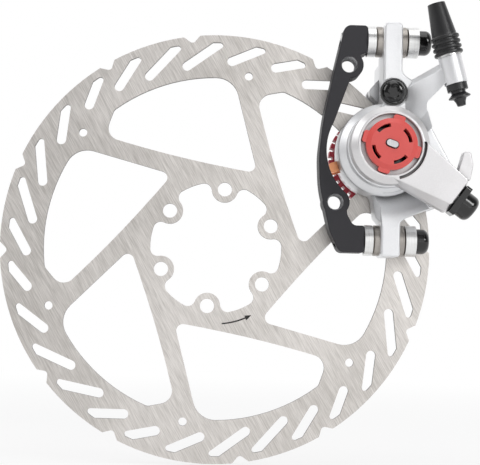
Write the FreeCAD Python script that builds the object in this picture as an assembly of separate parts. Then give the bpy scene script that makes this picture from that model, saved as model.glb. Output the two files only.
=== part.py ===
"""Cable-pulled bicycle disc brake: 160 mm rotor, ball-ramp caliper and post-mount bracket.

Frame in millimetres: the origin is the rotor centre on its mid-plane, X runs along the mount bolts,
Z is up, and Y runs from the outboard side (negative) to the inboard side (positive). Outlines of the
caliper and its bracket are (x, z, corner radius) points measured from the caliper axis.
"""
import FreeCAD
import Part
import math
import os

Vec = FreeCAD.Vector
ORIGIN = Vec(0, 0, 0)
ALONG_X = Vec(1, 0, 0)
ALONG_Z = Vec(0, 0, 1)
INBOARD = Vec(0, 1, 0)
OUTBOARD = Vec(0, -1, 0)
TINY = 1e-4
PAST = 1.0
CORNER = 0.2

# Rotor
ROTOR_R = 80.0
ROTOR_T = 1.8
ROTOR_SECTORS = 6
BAND_W = 16.0
HUB_RING_R = 30.2
BOLT_CIRCLE_R = 22.0
HUB_OPEN_PAST = 2.5
HUB_OPEN_R = BOLT_CIRCLE_R + HUB_OPEN_PAST
BOLT_HOLE_R = 2.65
BOLT_ANGLE = 22.6
HUB_EAR_R = 4.9
HUB_EAR_FILLET = 1.6
PIN_HOLE_R = 1.55
PIN_INSET = 1.6
PIN_ANGLE = 20.5
NOTCH_ANGLES = (2.0, 37.8)
NOTCH_DEPTH = 2.9
NOTCH_HALF_ANGLE = 2.9
NOTCH_ROUND = 1.4
SLOT_W = 3.6
SLOT_RIM = 2.7
SLOT_TILT = 121.0
SLOTS = ((6.5, 10.0, 12.2), (6.9, 22.5, 14.9), (7.5, 35.3, 17.9), (7.6, 47.4, 17.9), (6.9, 58.4, 14.9))
SPOKE_LEAD = ((26.0, -4.7), (66.6, 35.9))
SPOKE_TRAIL = ((24.0, -18.4), (40.2, 0.0), (56.6, 16.6))
WINDOW_FAR_ANGLE = 45.0
LEAD_FILLET = 4.5
TRAIL_FILLET = 3.0
HUB_FILLET = 1.5
SECTOR = 360.0 / ROTOR_SECTORS
BAND_INNER_R = ROTOR_R - BAND_W

# Caliper axis: pads, feet, cams, lever and both knobs turn or slide on it
AXIS_INSET = 9.34
AXIS_ANGLE = 31.1
AXIS_X = (ROTOR_R - AXIS_INSET) * math.cos(math.radians(AXIS_ANGLE))
AXIS_Z = (ROTOR_R - AXIS_INSET) * math.sin(math.radians(AXIS_ANGLE))

# Post-mount bolts
PM_SPACING = 74.0
PM_LOW = -33.0
PM_HIGH = PM_LOW + PM_SPACING
PM_Y = -9.0
PM_FACE = -6.5
PM_BOLT_R = 3.0
PM_BOLT_DEPTH = 9.5
PM_DRILL_PAST = 1.5
THREAD_GAP = 0.05
PM_HEAD_R = 4.6
PM_HEAD_L = 5.0
HEAD_ROUND = 2.4
SOCKET_R = 2.0
SOCKET_LOBE_R = 0.6
SOCKET_DEPTH = 2.6

# Bracket
BRACKET_FRONT = -13.5
BRACKET_BACK = -4.5
BRACKET_ROUND = 0.5
FRAME_HOLES = ((-13.3, 31.4), (-17.6, -19.4))
FRAME_HOLE_R = 3.0
FRAME_BOSS_R = 5.0
FRAME_BOSS_SHIFT = 0.3
DRUM_RELIEF_R = 21.1
POST_OVER = 5.2
POST_UNDER = 4.7
BRACKET_OUTLINE = (
    (-15.1, PM_HIGH + POST_OVER, 3.0), (PM_FACE, PM_HIGH + POST_OVER, 1.4),
    (PM_FACE, PM_HIGH - POST_UNDER, 0.8), (-8.9, 35.4, 1.2), (-13.1, 25.5, 2.5), (-19.0, 8.9, 2.0),
    (-13.9, -15.5, 2.0), (-13.1, -23.9, 2.6),
    (-10.9, PM_LOW + POST_OVER, 2.4), (PM_FACE, PM_LOW + POST_OVER, 1.2), (PM_FACE, PM_LOW - POST_UNDER, 1.2),
    (-15.9, PM_LOW - POST_UNDER, 2.6), (-19.6, -30.0, 12.0), (-23.4, -14.0, 40.0), (-24.0, -2.5, 40.0),
    (-22.5, 11.5, 60.0), (-18.8, 29.5, 40.0))

# Spherical washers on both sides of each ear
WASHER_R = 5.65
WASHER_HOLE_R = 3.4
WASHER_SPHERE_R = 9.0
WASHER_GAP = 0.06
BALL_RIM = 1.9
CUP_LIP_R = 4.9
WASHER_STACK = 5.5
FLAT_WASHER_T = 0.9
FLAT_WASHER_R = 5.7

# Ears
EAR_T = 7.0
EAR_LEFT = PM_FACE + WASHER_STACK
EAR_RIGHT = EAR_LEFT + EAR_T
EAR_OVER = 6.3
EAR_CORNER = 2.0
EAR_UNDER = 6.1
EAR_SLOT_R = 3.6
EAR_SLOT_SHIFT = 1.3
HEAD_SEAT = EAR_RIGHT + WASHER_STACK + FLAT_WASHER_T

# Caliper halves
BODY_FACE = 2.6
BODY_FRONT = -16.0
EDGE_ROUND = 0.8
ROTOR_POCKET_GAP = 1.3
DRUM_R = 17.0
DRUM_SHOULDER = -14.6
DRUM_ROUND = 1.2
BOSS_R = 14.4
BOSS_FOOT = -17.4
BOSS_FRONT = -22.0
BOSS_ROUND = 0.6
BORE_R = 11.5
BORE_END = -20.0
SHAFT_HOLE_R = 8.0
SCOOP_R = 28.5
SCOOP_FLOOR = -11.6
SCOOP_MID = ((19.2, -13.0), (23.5, -15.2))
SCOOP_RUN_OUT = (1.0, -0.15)
SCOOP_FROM = -112.0
SCOOP_SPAN = 60.0
INBOARD_BACK = 12.0
INBOARD_DRUM_R = 15.2
INBOARD_DRUM_BACK = 14.0
OUTBOARD_OUTLINE = (
    (EAR_LEFT, PM_HIGH + EAR_OVER, EAR_CORNER), (EAR_RIGHT, PM_HIGH + EAR_OVER, EAR_CORNER),
    (EAR_RIGHT, 28.1, 3.5), (10.1, 25.7, 2.5), (14.9, 17.9, 2.5), (14.1, 13.9, 2.5), (26.3, -8.1, 6.0),
    (25.1, -18.3, 5.5), (18.5, -20.7, 4.0), (8.3, -24.7, 2.5), (EAR_RIGHT, -26.5, 1.2),
    (EAR_RIGHT, PM_LOW - EAR_UNDER, 1.2),
    (EAR_LEFT, PM_LOW - EAR_UNDER, 1.2), (EAR_LEFT, -14.0, 1.0), (-9.3, -11.7, 1.0), (-11.5, 9.0, 1.0),
    (-4.9, 13.1, 3.0), (EAR_LEFT, 16.5, 2.0))
FLANK_SLOPE = ((EAR_LEFT, -14.0), (-9.5, -5.0))
FLANK_OUTLINE = (
    (2.0, -26.6, 0.5), (EAR_LEFT, -26.6, 0.6), (-2.7, -24.5, 1.5), (-3.6, -17.3, 5.0), (-9.3, -11.7, 1.0),
    (2.0, -10.0, 0.5))
SHELL_EDGE = (
    (-4.6, 23.7, 2.0), (-0.5, 28.5, 2.0), (-0.5, 35.1, 1.5), (5.7, 35.1, 1.5), (EAR_RIGHT, 28.1, 3.0),
    (10.1, 25.7, 2.5), (14.9, 17.9, 2.5), (14.1, 13.9, 2.5), (26.3, -8.1, 6.0), (25.1, -18.3, 5.5))
BRIDGE_OUTLINE = SHELL_EDGE + ((18.5, -20.1, 2.5), (5.5, -2.5, 1.0))
INBOARD_OUTLINE = SHELL_EDGE + (
    (18.5, -20.9, 4.0), (7.5, -18.5, 3.0), (-2.5, -16.9, 2.0), (-8.9, -11.2, 1.0), (-10.6, 8.6, 1.0),
    (-7.0, 13.0, 2.0))

# Screws that join the halves
BODY_BOLTS = ((2.7, 21.1), (21.0, -12.3))
BODY_BOLT_R = 2.5
BODY_BOLT_CLEAR = 0.3
BODY_BOLT_SEAT = -15.8
BODY_BOLT_HEAD_R = 4.3
BODY_BOLT_HEAD_L = 3.6
BODY_FLANGE_R = 5.0
BODY_FLANGE_T = 1.0
SPOT_FACE_GAP = 0.3
BODY_BOLT_END = 10.0

# Pads
PAD_GAP = 0.6
LINING_T = 2.4
PLATE_T = 1.8
PLATE_W = 24.0
PLATE_H = 17.0
LINING_W = 20.4
LINING_H = 13.6
LINING_GROOVE_W = 1.4
LINING_GROOVE_DEPTH = 0.8
PAD_CLEAR = 0.5
PAD_CORNER = 3.2
LINING_CORNER = 2.2
TAB_ANGLE = 198.4
TAB_W = 3.8
TAB_FROM = 2.0
TAB_REACH = 20.0
TAB_CORNER = 1.0
TAB_SLOT_SIDE = 0.8
TAB_SLOT_PAST = 8.0
PAD_BACK = ROTOR_T / 2 + PAD_GAP + LINING_T + PLATE_T

# Feet and ball ramp
FOOT_GAP = 0.05
FOOT_R = 9.0
FOOT_T = 2.7
FOOT_STEM_R = 6.6
FOOT_BACK = -12.0
FIXED_CAM_GAP = 0.05
FIXED_CAM_FACE = -17.2
FIXED_CAM_HOLE_GAP = 0.1
DRIVE_CAM_FACE = -16.0
DRIVE_CAM_FRONT = -12.6
DRIVE_CAM_R = 11.1
CAM_SHAFT_GAP = 0.06
CAM_SHAFT_END = -25.4
CAM_BORE_R = 5.06
BALL_R = 1.3
BALL_CIRCLE_R = 9.75
BALL_COUNT = 3
BALL_GAP = 0.05
TRACK_SPAN = 26.0
CAGE_T = 0.5
CAGE_R = 10.9
CAGE_HOLE_R = 8.3
CAGE_GAP = 0.03
INBOARD_FOOT_R = 9.0
INBOARD_FOOT_GAP = 0.06
INBOARD_FOOT_END = 13.0
INBOARD_STEM_R = 5.0
INBOARD_STEM_END = 18.0
BALL_Y = (FIXED_CAM_FACE + DRIVE_CAM_FACE) / 2

# Lever
LEVER_FRONT = -31.0
LEVER_SLOPE_Y = -26.8
LEVER_BACK = -22.6
LEVER_ROUND = 0.4
HUB_R = 14.0
HUB_TOP_R = 11.8
HUB_BEVEL = 2.4
HUB_ROUND = 0.3
KNOB_SEAT_R = 11.0
SPRING_ROOM_R = (9.0, 12.4)
SPRING_ROOM_Y = -26.4
LEVER_END_HIGH = (28.4, -12.6)
LEVER_END_LOW = (20.4, -23.5)
LEVER_CORNER = (1.2,)
LEVER_FACE_OUTLINE = ((2.0, 10.3, 1.0), (27.7, -12.0, 1.2), (21.4, -20.8, 1.2), (0.1, -11.6, 1.0))
LEVER_BACK_OUTLINE = (
    (2.0, 10.3, 1.0), LEVER_END_HIGH + LEVER_CORNER, LEVER_END_LOW + LEVER_CORNER, (0.1, -12.5, 1.0))
GROOVE_R = 12.2
GROOVE_W = 1.0
GROOVE_DEPTH = 2.2
GROOVE_FROM = -76.0
GROOVE_SPAN = 82.0
FIN_OUTLINE = (
    (23.9, -9.6, 0.4), (26.1, -1.6, 1.2), (28.8, -1.5, 1.2), (29.8, -6.3, 4.0), (28.7, -11.9, 0.6),
    (26.1, -12.1, 0.4))
FIN_FRONT = -28.6
FIN_BACK = -25.2
FIN_ROUND = 0.5

# Cable clamp on the lever's end
CLAMP_PLACE = 0.54
PINCH_Y = -26.8
PINCH_R = 2.5
PINCH_DEPTH = 8.0
PINCH_END_GAP = 0.5
CLAMP_T = 2.2
CLAMP_L = 11.6
CLAMP_W = 8.0
CLAMP_CORNER = 1.2
CLAMP_HOLE_GAP = 0.2
CABLE_GROOVE_R = 0.8
CABLE_GROOVE_OUT = 0.9
PINCH_HEAD_R = 4.8
PINCH_HEAD_L = 5.4
PINCH_POINT = [a + (b - a) * CLAMP_PLACE for a, b in zip(LEVER_END_HIGH, LEVER_END_LOW)]
PINCH_ANGLE = math.degrees(
    math.atan2(LEVER_END_LOW[0] - LEVER_END_HIGH[0], LEVER_END_HIGH[1] - LEVER_END_LOW[1]))

# Outboard knob
KNOB_R = 9.2
KNOB_FACE_R = 7.5
KNOB_BEVEL = 0.9
KNOB_TABS = 4
KNOB_TAB_R = 10.6
KNOB_TAB_W = 4.2
KNOB_TAB_CORNER = 0.8
KNOB_TAB_ANGLE = 74.0
KNOB_FRONT = -32.4
KNOB_BACK = -28.8
KNOB_SLOT_R = 6.6
KNOB_SLOT_W = 1.3
KNOB_SLOT_SPAN = 45.0
KNOB_SLOT_ANGLE = 28.0
KNOB_UNDER_GAP = 0.4
KNOB_SEAT_Y = KNOB_BACK + KNOB_UNDER_GAP
TANG_L = 4.2
TANG_W = 2.2
TANG_GAP = 0.4
TANG_ANGLE = -20.0
TANG_FRONT = -33.2
SCREW_END = -26.8

# Inboard knob
IN_KNOB_R = 17.2
IN_KNOB_ROOT_R = 15.7
IN_KNOB_TEETH = 32
IN_KNOB_GAP_W = 1.3
IN_KNOB_FRONT = 14.6
IN_KNOB_BACK = 20.2
IN_KNOB_ROUND = 0.7
IN_KNOB_RECESS_R = (7.2, 11.6)
IN_KNOB_RECESS = 1.6
IN_KNOB_KEY_R = 2.6
STEM_END_GAP = 0.2

# Return spring and dust seal under the lever hub
SPRING_COIL_R = 10.7
SPRING_WIRE_R = 0.55
SPRING_HALF_TURNS = 4
SPRING_END_GAP = 0.05
SEAL_RING_R = (12.7, 13.5)
SEAL_RING_T = 0.4

# Pad spring
LEAF_T = 0.4
LEAF_W = 1.2
LEAF_Y = 2.45
LEAF_LOW = -5.9
LEAF_TOP = 8.4
LEAF_TAB_W = 10.0
LEAF_EDGE_GAP = 0.5

# Cable stop
STOP_Y = -26.0
STOP_TOP = (21.15, 32.7)
STOP_ANGLE = 14.9
STOP_L = 10.0
STOP_R = 4.15
STOP_BORE_R = 2.75
BOOT_RIB_R = 5.2
BOOT_RIB_ROUND = 0.3
BOOT_RIB_T = 1.2
BOOT_RIBS = 4
BOOT_PITCH = 1.9
BOOT_NECK_R = 4.45
BOOT_CONE_L = 11.5
BOOT_TOP_R = 3.15
BOOT_BORE_R = 2.7
FERRULE_GAP = 0.06
FERRULE_HOLE_R = 2.1
FERRULE_L = 8.0
FLANGE_R = 4.1
FLANGE_T = 0.7
SEAL_BORE_R = 0.9
CABLE_SEAL = (
    (3.75, 0.0), (3.75, 2.5), (2.6, 2.5), (2.6, 3.5), (3.95, 4.7), (3.95, 5.1), (2.4, 5.5), (1.8, 6.7),
    (1.5, 8.1))
ARM_OUTLINE = (
    (2.5, 19.5, 1.0), (4.0, 25.4, 0.0), (9.5, 26.1, 3.0), (17.3, 30.1, 8.0), (20.9, 31.7, 0.0),
    (22.5, 25.5, 0.8), (21.1, 24.5, 1.5), (13.8, 16.8, 2.5), (13.9, 13.9, 2.0), (17.6, 7.2, 0.5),
    (9.0, 7.2, 0.5), (5.5, 13.0, 1.0))
ARM_FACE = (
    (0.0, -14.6), (6.0, -15.5), (9.0, -17.2), (12.5, -20.8), (17.5, -26.4), (21.0, -28.4), (25.0, -29.3))
ARM_REAR = ((25.0, -22.4), (19.0, -21.4), (11.5, -9.0), (0.0, -8.0))
ARM_ROOT = ((-26.0, 16.0), (-15.6, 6.6))
ARM_BEVEL = 1.2
BEVEL_REACH = 40.0


def axis_point(y):
    """Point on the caliper axis at height y."""
    return Vec(AXIS_X, y, AXIS_Z)


def ring(radius, y0, y1, hole=0.0, at=(0.0, 0.0)):
    """Cylinder or tube along Y between two heights, placed from the caliper axis."""
    base = axis_point(y0) + Vec(at[0], 0, at[1])
    body = Part.makeCylinder(radius, y1 - y0, base, INBOARD)
    if hole > 0.0:
        body = body.cut(Part.makeCylinder(hole, y1 - y0, base, INBOARD))
    return body


def disc(radius, y, hole=0.0, at=(0.0, 0.0)):
    """Cylinder or tube through the rotor plane, placed from the rotor centre."""
    body = Part.makeCylinder(radius, 2 * y, Vec(at[0], -y, at[1]), INBOARD)
    if hole > 0.0:
        body = body.cut(Part.makeCylinder(hole, 2 * y, Vec(at[0], -y, at[1]), INBOARD))
    return body


def rounded_wire(points, y=0.0):
    """Closed wire at one height through (x, z, corner radius) points."""
    n = len(points)
    corners = []
    for i, (x, z, radius) in enumerate(points):
        p = Vec(x, y, z)
        a = Vec(points[i - 1][0], y, points[i - 1][1]).sub(p).normalize()
        b = Vec(points[(i + 1) % n][0], y, points[(i + 1) % n][1]).sub(p).normalize()
        half = a.getAngle(b) / 2.0
        reach = radius / math.tan(half)
        mid = (a + b).normalize() * (radius / math.sin(half) - radius)
        corners.append((p + a * reach, p + mid, p + b * reach))
    edges = []
    for i, (start, mid, end) in enumerate(corners):
        if end.sub(start).Length > TINY:
            edges.append(Part.Arc(start, mid, end).toShape())
        following = corners[(i + 1) % n][0]
        if end.sub(following).Length > TINY:
            edges.append(Part.makeLine(end, following))
    return Part.Wire(edges)


def plate(points, y0, y1):
    """Plate with a rounded outline between two heights, drawn from the rotor centre."""
    return Part.Face(rounded_wire(points, y0)).extrude(Vec(0, y1 - y0, 0))


def on_axis(shape, angle=0.0):
    """Turn a shape drawn about the origin and move it to the caliper axis."""
    placed_shape = turned(shape, angle)
    placed_shape.translate(axis_point(0))
    return placed_shape


def body_plate(points, y0, y1):
    """Plate with a rounded outline drawn from the caliper axis."""
    return on_axis(plate(points, y0, y1))


def bar(x0, x1, width, y0, y1, corner=CORNER, end_corner=CORNER):
    """Straight bar along X with its own corner radii at both ends."""
    w = width / 2
    return plate(((x0, -w, corner), (x1, -w, end_corner), (x1, w, end_corner), (x0, w, corner)), y0, y1)


def polygon(points, y0, y1):
    """Plate with a sharp outline between two heights."""
    corners = [Vec(x, y0, z) for x, z in points]
    return Part.Face(Part.makePolygon(corners + corners[:1])).extrude(Vec(0, y1 - y0, 0))


def placed(shape, base, direction):
    """Move a shape drawn along Z to a base point and a direction."""
    copy = shape.copy()
    copy.Placement = FreeCAD.Placement(base, FreeCAD.Rotation(ALONG_Z, direction))
    return copy


def lathe(profile, base, direction):
    """Solid of revolution of (radius, height) points about a line."""
    corners = [Vec(r, 0, h) for r, h in profile]
    face = Part.Face(Part.makePolygon(corners + corners[:1]))
    return placed(face.revolve(ORIGIN, ALONG_Z, 360), base, direction)


def outboard_lathe(profile):
    """Solid of revolution about the caliper axis from (radius, y) points."""
    return lathe([(r, -y) for r, y in profile], axis_point(0), OUTBOARD)


def turned(shape, angle, centre=ORIGIN):
    """Copy turned counter-clockwise as seen from the outboard side."""
    copy = shape.copy()
    copy.rotate(centre, OUTBOARD, angle)
    return copy


def around(shape, count, centre=ORIGIN):
    """Copies spaced evenly about a line along Y."""
    return [turned(shape, k * 360.0 / count, centre) for k in range(count)]


def around_axis(shape, count):
    """Compound of copies spaced evenly about the caliper axis."""
    return Part.makeCompound(around(shape, count, axis_point(0)))


def polar(radius, angle):
    """Point (x, z) at a radius and an angle in degrees."""
    turn = math.radians(angle)
    return radius * math.cos(turn), radius * math.sin(turn)


def arc_groove(radius, width, y0, y1, start, span):
    """Arc-shaped groove about the caliper axis."""
    band = ring(radius + width / 2, y0, y1, radius - width / 2)
    fan = [(0.0, 0.0)] + [polar(3.0 * radius, start + span * f) for f in (0.0, 0.5, 1.0)]
    return band.common(on_axis(polygon(fan, y0, y1)))


def round_y_edges(shape, y, radius):
    """Round the edges that lie at one height."""
    level = [e for e in shape.Edges if max(abs(e.BoundBox.YMin - y), abs(e.BoundBox.YMax - y)) < TINY]
    return shape.makeFillet(radius, level)


def upright_edges(shape):
    """Edges that run along Y."""
    return [e for e in shape.Edges if e.BoundBox.XLength < TINY and e.BoundBox.ZLength < TINY]


def match_edge(shape, edge):
    """Upright edge of a shape that stands where another edge stood."""
    centre = edge.BoundBox.Center
    return min(upright_edges(shape), key=lambda e: e.BoundBox.Center.sub(centre).Length)


def rotor_window():
    """Opening between two neighbouring spokes."""
    inner, outer = (Vec(x, -ROTOR_T, z) for x, z in SPOKE_LEAD)
    trail = [turned(Part.Vertex(x, -ROTOR_T, z), SECTOR).Point for x, z in SPOKE_TRAIL]
    far_x, far_z = polar(ROTOR_R + BAND_W, WINDOW_FAR_ANGLE)
    far = Vec(far_x, -ROTOR_T, far_z)
    edges = [
        Part.makeLine(inner, outer), Part.makeLine(outer, far), Part.makeLine(far, trail[2]),
        Part.Arc(trail[2], trail[1], trail[0]).toShape(), Part.makeLine(trail[0], inner)]
    wedge = Part.Face(Part.Wire(edges)).extrude(Vec(0, 2 * ROTOR_T, 0))
    window = wedge.common(disc(BAND_INNER_R, ROTOR_T, HUB_RING_R))
    corners = sorted(upright_edges(window), key=lambda e: math.atan2(e.BoundBox.ZMin, e.BoundBox.XMin))
    reach = [math.hypot(e.BoundBox.XMin, e.BoundBox.ZMin) for e in corners]
    wide = [e for e, r in zip(corners, reach) if r > BAND_INNER_R - PAST]
    near = [e for e, r in zip(corners, reach) if r < HUB_RING_R + PAST]
    window = window.makeFillet(LEAD_FILLET, wide[:1])
    window = window.makeFillet(HUB_FILLET, [match_edge(window, near[0])])
    return window.makeFillet(TRAIL_FILLET, [match_edge(window, wide[1])])


def rotor_slot(inset, angle, length):
    """Slanted slot with a round inner end, cut off by a circle at its outer end."""
    round_end = SLOT_W / 2 - TINY
    slot = turned(bar(-length, length / 2, SLOT_W, -ROTOR_T, ROTOR_T, CORNER, round_end), angle + SLOT_TILT)
    x, z = polar(ROTOR_R - inset, angle)
    slot.translate(Vec(x, 0, z))
    return slot.common(disc(ROTOR_R - SLOT_RIM, ROTOR_T))


def rotor_notch(angle):
    """Shallow triangular notch in the outer edge."""
    before, after = (polar(ROTOR_R + PAST, angle + side * NOTCH_HALF_ANGLE) for side in (-1, 1))
    foot = polar(ROTOR_R - NOTCH_DEPTH, angle)
    return plate((before + (CORNER,), foot + (NOTCH_ROUND,), after + (CORNER,)), -ROTOR_T, ROTOR_T)


def hub_opening():
    """Centre opening with the six bolt ears left standing."""
    opening = disc(HUB_OPEN_R, ROTOR_T)
    ear = disc(HUB_EAR_R, 2 * ROTOR_T, 0, polar(BOLT_CIRCLE_R, BOLT_ANGLE))
    opening = opening.cut(Part.makeCompound(around(ear, ROTOR_SECTORS)))
    return opening.makeFillet(HUB_EAR_FILLET, upright_edges(opening))


def make_rotor():
    """Stamped rotor with windows, slots, notches and hub ears."""
    pattern = [rotor_window(), disc(BOLT_HOLE_R, ROTOR_T, 0, polar(BOLT_CIRCLE_R, BOLT_ANGLE))]
    pattern.append(disc(PIN_HOLE_R, ROTOR_T, 0, polar(BAND_INNER_R + PIN_INSET, PIN_ANGLE)))
    pattern += [rotor_slot(*slot) for slot in SLOTS]
    pattern += [rotor_notch(angle) for angle in NOTCH_ANGLES]
    tools = [hub_opening()]
    for tool in pattern:
        tools += around(tool, ROTOR_SECTORS)
    return disc(ROTOR_R, ROTOR_T / 2).cut(Part.makeCompound(tools))


def along_x(radius, x0, x1, z, hole=0.0, y=PM_Y):
    """Cylinder or tube along X at the height of a mount bolt."""
    base = axis_point(y) + Vec(x0, 0, z)
    body = Part.makeCylinder(radius, x1 - x0, base, ALONG_X)
    if hole > 0.0:
        body = body.cut(Part.makeCylinder(hole, x1 - x0, base, ALONG_X))
    return body


def make_bracket():
    """Black bracket with two frame holes and two post-mount holes."""
    body = body_plate(BRACKET_OUTLINE, BRACKET_FRONT, BRACKET_BACK)
    for x, z in FRAME_HOLES:
        body = body.fuse(ring(FRAME_BOSS_R, BRACKET_FRONT, BRACKET_BACK, 0, (x + FRAME_BOSS_SHIFT, z)))
    body = body.cut(ring(DRUM_RELIEF_R, BRACKET_FRONT - PAST, BRACKET_BACK + PAST)).removeSplitter()
    body = round_y_edges(body, BRACKET_FRONT, BRACKET_ROUND)
    tools = [ring(FRAME_HOLE_R, BRACKET_FRONT - PAST, BRACKET_BACK + PAST, 0, hole) for hole in FRAME_HOLES]
    drill_end = PM_FACE - PM_BOLT_DEPTH - PM_DRILL_PAST
    tools += [along_x(PM_BOLT_R + THREAD_GAP, drill_end, PM_FACE + PAST, z) for z in (PM_LOW, PM_HIGH)]
    return body.cut(Part.makeCompound(tools))


def screw(head_r, head_l, shank_r, shank_l):
    """Domed six-lobe screw along Z with its seat at the origin."""
    head = Part.makeCylinder(head_r, head_l)
    top = [e for e in head.Edges if e.BoundBox.ZMin > head_l - TINY]
    head = head.makeFillet(HEAD_ROUND, top)
    floor = Vec(0, 0, head_l - SOCKET_DEPTH)
    socket = [Part.makeCylinder(SOCKET_R, head_l, floor)]
    for k in range(6):
        x, y = polar(SOCKET_R, 60.0 * k)
        socket.append(Part.makeCylinder(SOCKET_LOBE_R, head_l, floor + Vec(x, y, 0)))
    shank = Part.makeCylinder(shank_r, shank_l, Vec(0, 0, -shank_l))
    return head.cut(Part.makeCompound(socket)).fuse(shank)


def make_mount_bolts():
    """Two post-mount bolts."""
    bolt = screw(PM_HEAD_R, PM_HEAD_L, PM_BOLT_R, HEAD_SEAT - PM_FACE + PM_BOLT_DEPTH)
    seats = [axis_point(PM_Y) + Vec(HEAD_SEAT, 0, z) for z in (PM_LOW, PM_HIGH)]
    return Part.makeCompound([placed(bolt, seat, ALONG_X) for seat in seats])


def sphere_drop(radius_at):
    """Drop of the washer sphere below its pole at one radius."""
    return WASHER_SPHERE_R - math.sqrt(WASHER_SPHERE_R ** 2 - radius_at ** 2)


def ball_washer():
    """Convex washer standing on its flat face, axis along Z."""
    pole = BALL_RIM + sphere_drop(WASHER_R)
    ball = Part.makeSphere(WASHER_SPHERE_R, Vec(0, 0, pole - WASHER_SPHERE_R))
    blank = Part.makeCylinder(WASHER_R, pole).cut(Part.makeCylinder(WASHER_HOLE_R, pole))
    return blank.common(ball)


def cup_washer():
    """Concave washer in its place above the convex one."""
    pole = BALL_RIM + sphere_drop(WASHER_R)
    lip = pole - sphere_drop(CUP_LIP_R) + WASHER_GAP
    seat = Part.makeSphere(WASHER_SPHERE_R + WASHER_GAP, Vec(0, 0, pole - WASHER_SPHERE_R))
    blank = Part.makeCylinder(WASHER_R, WASHER_STACK - lip, Vec(0, 0, lip))
    return blank.cut(seat).cut(Part.makeCylinder(WASHER_HOLE_R, WASHER_STACK))


def on_ears(washer):
    """A washer on both sides of both ears."""
    copies = []
    for z in (PM_LOW, PM_HIGH):
        for x, way in ((EAR_LEFT, -1), (EAR_RIGHT, 1)):
            copies.append(placed(washer, axis_point(PM_Y) + Vec(x, 0, z), Vec(way, 0, 0)))
    return Part.makeCompound(copies)


def make_flat_washers():
    """Thin washers under the bolt heads."""
    start = HEAD_SEAT - FLAT_WASHER_T
    washers = [along_x(FLAT_WASHER_R, start, HEAD_SEAT, z, WASHER_HOLE_R) for z in (PM_LOW, PM_HIGH)]
    return Part.makeCompound(washers)


def pad_block(height, width, y0, y1, corner):
    """Rounded block on the caliper axis, radial to the rotor."""
    return on_axis(bar(-height / 2, height / 2, width, y0, y1, corner, corner), AXIS_ANGLE)


def tab_block(width, reach, y0, y1):
    """Radial finger for the pad tab."""
    return on_axis(bar(TAB_FROM, reach, width, y0, y1, CORNER, TAB_CORNER), TAB_ANGLE)


def pad_room(y0, y1):
    """Pocket for one pad and its tab in a caliper half."""
    block = pad_block(PLATE_H + 2 * PAD_CLEAR, PLATE_W + 2 * PAD_CLEAR, y0, y1, PAD_CORNER)
    return [block, tab_block(TAB_W + 2 * TAB_SLOT_SIDE, TAB_REACH + TAB_SLOT_PAST, y0, y1)]


def stop_point(drop):
    """Point on the cable-stop axis, measured down from the top of the tube."""
    return axis_point(STOP_Y) + Vec(STOP_TOP[0], 0, STOP_TOP[1]) - stop_up() * drop


def stop_up():
    """Upward direction of the cable stop."""
    x, z = polar(1.0, STOP_ANGLE + 90.0)
    return Vec(x, 0, z)


def above_bevel():
    """Block that lies on the bevel along the arm's upper edge."""
    (x0, z0, _), (x1, z1, _) = ARM_OUTLINE[2:4]
    (ax, ay), (x, y), (bx, by) = ARM_FACE[2:5]
    way = (Vec(z0 - z1, 0, x1 - x0).normalize() + Vec(by - ay, ax - bx, 0).normalize()).normalize()
    edge = Vec(x, y, z0 + (x - x0) * (z1 - z0) / (x1 - x0))
    block = Part.makeBox(BEVEL_REACH, BEVEL_REACH, BEVEL_REACH, Vec(-BEVEL_REACH / 2, -BEVEL_REACH / 2, 0))
    return placed(block, edge - way * ARM_BEVEL, way)


def before_root():
    """Block in front of the slope that leads from the body up to the arm."""
    (y0, z0), (y1, z1) = ARM_ROOT
    front = min(y for _, y in ARM_FACE) - PAST
    profile = [Vec(0, y, z) for y, z in ((y0, z0), (y1, z1), (front, z1), (front, z0))]
    face = Part.Face(Part.makePolygon(profile + profile[:1]))
    return face.extrude(Vec(max(p[0] for p in ARM_OUTLINE), 0, 0))


def cable_arm():
    """Arm that sweeps outboard from the body to the tube of the cable stop."""
    low, high = (f(p[1] for p in ARM_OUTLINE) for f in (min, max))
    curve = Part.BSplineCurve()
    curve.interpolate([Vec(x, y, low - PAST) for x, y in ARM_FACE])
    ends = [Vec(x, y, low - PAST) for x, y in (ARM_FACE[-1],) + ARM_REAR + (ARM_FACE[0],)]
    profile = Part.Wire([curve.toShape()] + Part.makePolygon(ends).Edges)
    sweep = Part.Face(profile).extrude(Vec(0, 0, high - low + 2 * PAST))
    y_low, y_high = (f(p[1] for p in ARM_FACE + ARM_REAR) for f in (min, max))
    arm = plate(ARM_OUTLINE, y_low - PAST, y_high + PAST).common(sweep)
    arm = on_axis(arm.cut([above_bevel(), before_root()]))
    return arm.fuse(Part.makeCylinder(STOP_R, STOP_L, stop_point(STOP_L), stop_up()))


def bridge(y0, y1):
    """Wall beyond the rotor edge that joins the halves."""
    pocket = disc(ROTOR_R + ROTOR_POCKET_GAP, max(abs(y0), abs(y1)) + PAST)
    return body_plate(BRIDGE_OUTLINE, y0, y1).cut(pocket)


def ear_slot(z):
    """Slot in an ear that lets the caliper shift sideways."""
    x0, x1 = EAR_LEFT - PAST, EAR_RIGHT + PAST
    ends = [along_x(EAR_SLOT_R, x0, x1, z, 0, PM_Y + side * EAR_SLOT_SHIFT) for side in (-1, 1)]
    corner = axis_point(PM_Y - EAR_SLOT_SHIFT) + Vec(x0, 0, z - EAR_SLOT_R)
    return ends[0].fuse([ends[1], Part.makeBox(x1 - x0, 2 * EAR_SLOT_SHIFT, 2 * EAR_SLOT_R, corner)])


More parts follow.
